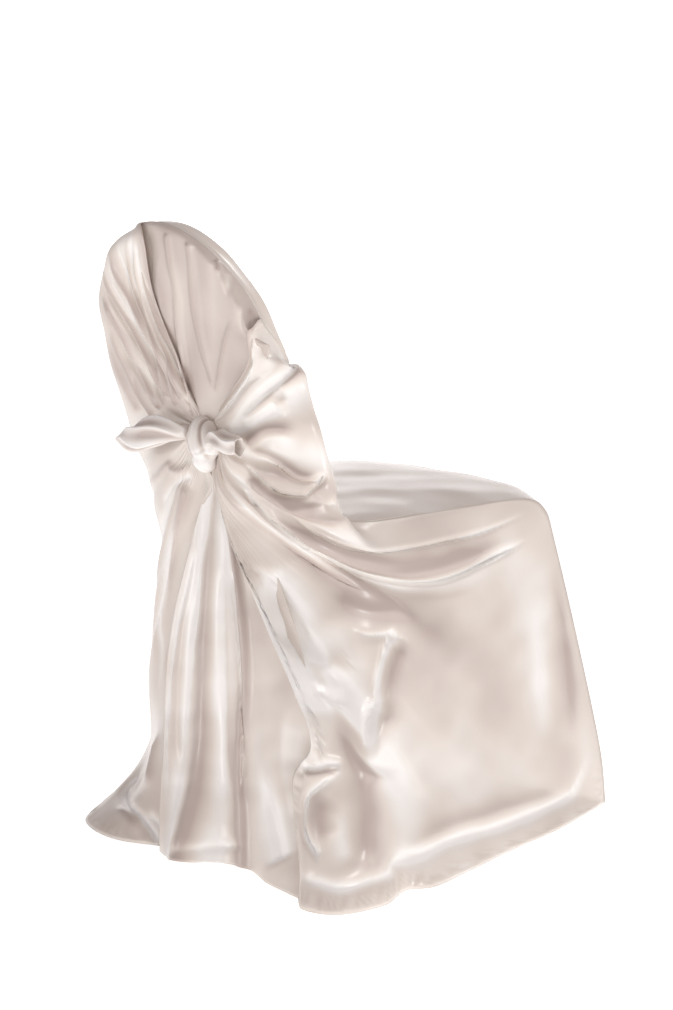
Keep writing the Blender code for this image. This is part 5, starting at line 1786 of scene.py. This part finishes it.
@dataclass(frozen=True)
class Studio:
    """The floor, the lights and the camera at the photograph's angle.

    Attributes:
        azimuth: Where the camera stands round the object, in degrees.
        distance: How far off it stands, in metres.
        height: How high it stands, in metres.
        down: How far it looks down, in degrees.
        roll: How far it is tilted, in degrees.
        lens: Focal length in millimetres on a 36 mm sensor along the picture's long side.
        sensor: The sensor's long side, in millimetres.
        floor_reach: Half the floor's side, in metres.
        wall_away: How far the pale wall stands from the camera.
        wall_side: Half the wall's width.
        wall_heights: The heights of its foot and its top.
        glow: How brightly the floor and the wall shine, which keeps them pale.
        room: The room's colours, low down and high up.
        room_top: How high in the room the second colour is reached.
        room_light: How brightly the room shines.
    """

    azimuth: float = 48.5
    distance: float = 3.2
    height: float = 1.10
    down: float = 11.3
    roll: float = -0.9
    lens: float = 76.28
    sensor: float = 36.0
    floor_reach: float = 60.0
    wall_away: float = 16.0
    wall_side: float = 5.0
    wall_heights: tuple[float, float] = (-0.5, 4.0)
    glow: float = 0.72
    room: tuple[Point, Point] = ((0.78, 0.75, 0.76), (0.62, 0.56, 0.56))
    room_top: float = 0.7
    room_light: float = 0.64

    def frame_axes(self) -> tuple[np.ndarray, np.ndarray, np.ndarray, np.ndarray]:
        """Return the camera's place and its right, up and forward ways, round the seat's spot."""
        turn, down, roll = (math.radians(angle) for angle in (self.azimuth, self.down, self.roll))
        place = np.array([self.distance * math.sin(turn), -self.distance * math.cos(turn), self.height])
        level = math.cos(down)
        ahead = np.array([-math.sin(turn) * level, math.cos(turn) * level, -math.sin(down)])
        right = np.cross(ahead, (0.0, 0.0, 1.0))
        right /= np.linalg.norm(right)
        up = np.cross(right, ahead)
        return (place, right * math.cos(roll) + up * math.sin(roll),
                up * math.cos(roll) - right * math.sin(roll), ahead)

    def camera(self) -> None:
        """Make the camera and hand it to the scene."""
        place, right, up, ahead = self.frame_axes()
        place = place + SEAT_SHIFT
        data = bpy.data.cameras.new("photo_camera")
        data.lens = self.lens
        data.sensor_width = self.sensor
        camera = bpy.data.objects.new("photo_camera", data)
        rows = [[right[i], up[i], -ahead[i], place[i]] for i in range(3)]
        camera.matrix_world = Matrix([*rows, [0.0, 0.0, 0.0, 1.0]])
        bpy.context.scene.collection.objects.link(camera)
        bpy.context.scene.camera = camera

    def floor(self) -> None:
        """Make the pale floor, with a pale wall far behind where the floor would end."""
        place, right, _, ahead = self.frame_axes()
        reach = self.floor_reach
        corners = [(-reach, -reach, 0.0), (reach, -reach, 0.0), (reach, reach, 0.0), (-reach, reach, 0.0)]
        far = place + ahead * self.wall_away
        foot, top = self.wall_heights
        for side, height in ((-self.wall_side, foot), (self.wall_side, foot),
                             (self.wall_side, top), (-self.wall_side, top)):
            corners.append((far[0] + right[0] * side, far[1] + right[1] * side, height))
        mesh = bpy.data.meshes.new("floor")
        mesh.from_pydata(corners, [], [(0, 1, 2, 3), (4, 7, 6, 5)])
        floor = bpy.data.objects.new("floor", mesh)
        material = bpy.data.materials.new("pale_floor")
        material.use_nodes = True
        shader = material.node_tree.nodes["Principled BSDF"]
        shader.inputs["Base Color"].default_value = (0.94, 0.94, 0.94, 1.0)
        shader.inputs["Roughness"].default_value = 0.9
        shader.inputs["Specular IOR Level"].default_value = 0.0
        mesh.materials.append(material)
        bpy.context.scene.collection.objects.link(floor)
        shader.inputs["Emission Color"].default_value = (1.0, 1.0, 1.0, 1.0)
        shader.inputs["Emission Strength"].default_value = self.glow

    def surroundings(self) -> None:
        """Make the pale room that lights the cloth softly from all round."""
        world = bpy.data.worlds.new("pale_room")
        world.use_nodes = True
        tree = world.node_tree
        ways = add_node(tree, "ShaderNodeTexCoord")
        split = add_node(tree, "ShaderNodeSeparateXYZ")
        ramp = add_node(tree, "ShaderNodeValToRGB")
        for stop, position, colour in zip(ramp.color_ramp.elements, (0.0, self.room_top), self.room):
            stop.position = position
            stop.color = (*colour, 1.0)
        tree.links.new(ways.outputs["Generated"], split.inputs["Vector"])
        tree.links.new(split.outputs["Z"], ramp.inputs["Fac"])
        tree.links.new(ramp.outputs["Color"], tree.nodes["Background"].inputs["Color"])
        tree.nodes["Background"].inputs["Strength"].default_value = self.room_light
        bpy.context.scene.world = world

    def build(self) -> None:
        """Build the floor, the pale surroundings, the lights and the camera."""
        self.camera()
        self.floor()
        self.surroundings()
        bpy.context.scene.view_settings.view_transform = "Standard"
        place, right, _, _ = self.frame_axes()
        for lamp in LAMPS:
            lamp.hang(place, right)


def make_sheets(hood: Hood, knot_form: KnotForm, steps: Steps) -> tuple[Wing, Wing, RearPanel]:
    """Describe the sheets that are sewn to the centre panel's edges.

    Args:
        hood: The hood that they hang from.
        knot_form: The knot that gathers them.
        steps: Number of points along the centre panel's edges.

    Returns:
        The right wing, the left wing and the rear panel.
    """
    ways = steps.hood_ways()[::steps.split]
    side, top = steps.hood_side, steps.hood_side + steps.hood_top
    shared = {"hood": hood, "knot": knot_form, "steps": steps, "sag": (0.014, 0.026)}
    right = Wing("satin_right_wing", side=1.0, drapes=RIGHT_DRAPES, folds=RIGHT_FOLDS,
                 creases=RIGHT_CREASES, hem=RIGHT_HEM, ring=(64.0, -70.0), lift=(0.009, -0.001, 0.000),
                 ways=ways[top:top + 5], rays=400, rings=119,
                 density=((0.0, 1.3), (0.3, 1.4), (0.56, 1.4), (0.62, 1.0), (0.8, 0.9), (0.9, 1.2),
                          (1.0, 1.2)),
                 corner=(0.012, 0.005, 0.001), **shared)
    left = Wing("satin_left_wing", side=-1.0, drapes=LEFT_DRAPES, folds=LEFT_FOLDS,
                creases=LEFT_CREASES, hem=LEFT_HEM, ring=(112.0, 248.0), lift=(0.001, -0.001, 0.005),
                ways=ways[:side + 1][::-1][:16], rays=390, rings=110,
                density=((0.0, 2.0), (0.3, 2.0), (0.4, 0.6), (0.75, 0.6), (0.85, 1.2), (1.0, 1.2)),
                corner=(0.010, 0.002, 0.003), **shared)
    return right, left, RearPanel(hood, knot_form, creases=REAR_CREASES)


def main() -> None:
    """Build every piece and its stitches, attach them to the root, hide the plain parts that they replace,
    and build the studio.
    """
    logging.basicConfig(level=logging.INFO, format="%(name)s: %(message)s")
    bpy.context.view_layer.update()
    hood, knot_form, steps = Hood(), KnotForm(), Steps()
    plain = Satin("ivory_satin", deep=(0.53, 0.44, 0.395), plain=(0.75, 0.67, 0.60),
                  bright=(0.95, 0.92, 0.885)).build()
    tied = Satin("ivory_satin_tied", deep=(0.50, 0.41, 0.37), plain=(0.80, 0.735, 0.68),
                 bright=(0.93, 0.90, 0.87)).build()

    centre = CentrePanel(hood, steps)
    edges = centre.shape()
    centre_piece = centre.build(plain)

    right_wing, left_wing, rear_panel = make_sheets(hood, knot_form, steps)
    right_piece = right_wing.build(edges["right"], plain)
    left_piece = left_wing.build(edges["left"], plain)
    rear_piece = rear_panel.build(edges["top"], plain)
    knot_piece = Knot(knot_form, KNOT_WRINKLES).build(tied)
    left_tie = TieEnd("satin_left_tie_end", LEFT_TIE, twist=2.5).build(tied)
    right_tie = TieEnd("satin_right_tie_end", RIGHT_TIE, hollow=0.03).build(tied)

    pairs = ((centre_piece, "centre_panel", "satin"), (right_piece, "right_panel", "satin"),
             (left_piece, "left_panel", "satin"), (rear_piece, "rear_panel", "satin"),
             (knot_piece, "knot", "satin_sash"), (left_tie, "left_tie_end", "satin_sash"),
             (right_tie, "right_tie_end", "satin_sash"))
    seams: dict[str, bpy.types.Object] = {}
    for panel, piece in ((centre, centre_piece), (right_wing, right_piece), (left_wing, left_piece),
                         (rear_panel, rear_piece)):
        name = piece.name.replace("satin", "stitches")
        seams[piece.name] = Stitching(name).build(panel.hem_lines, tied)
        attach(seams[piece.name], BODY)
    for piece, node, slot in pairs:
        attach(piece, BODY)
        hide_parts(node)
    Studio().build()


if __name__ == "__main__":
    main()
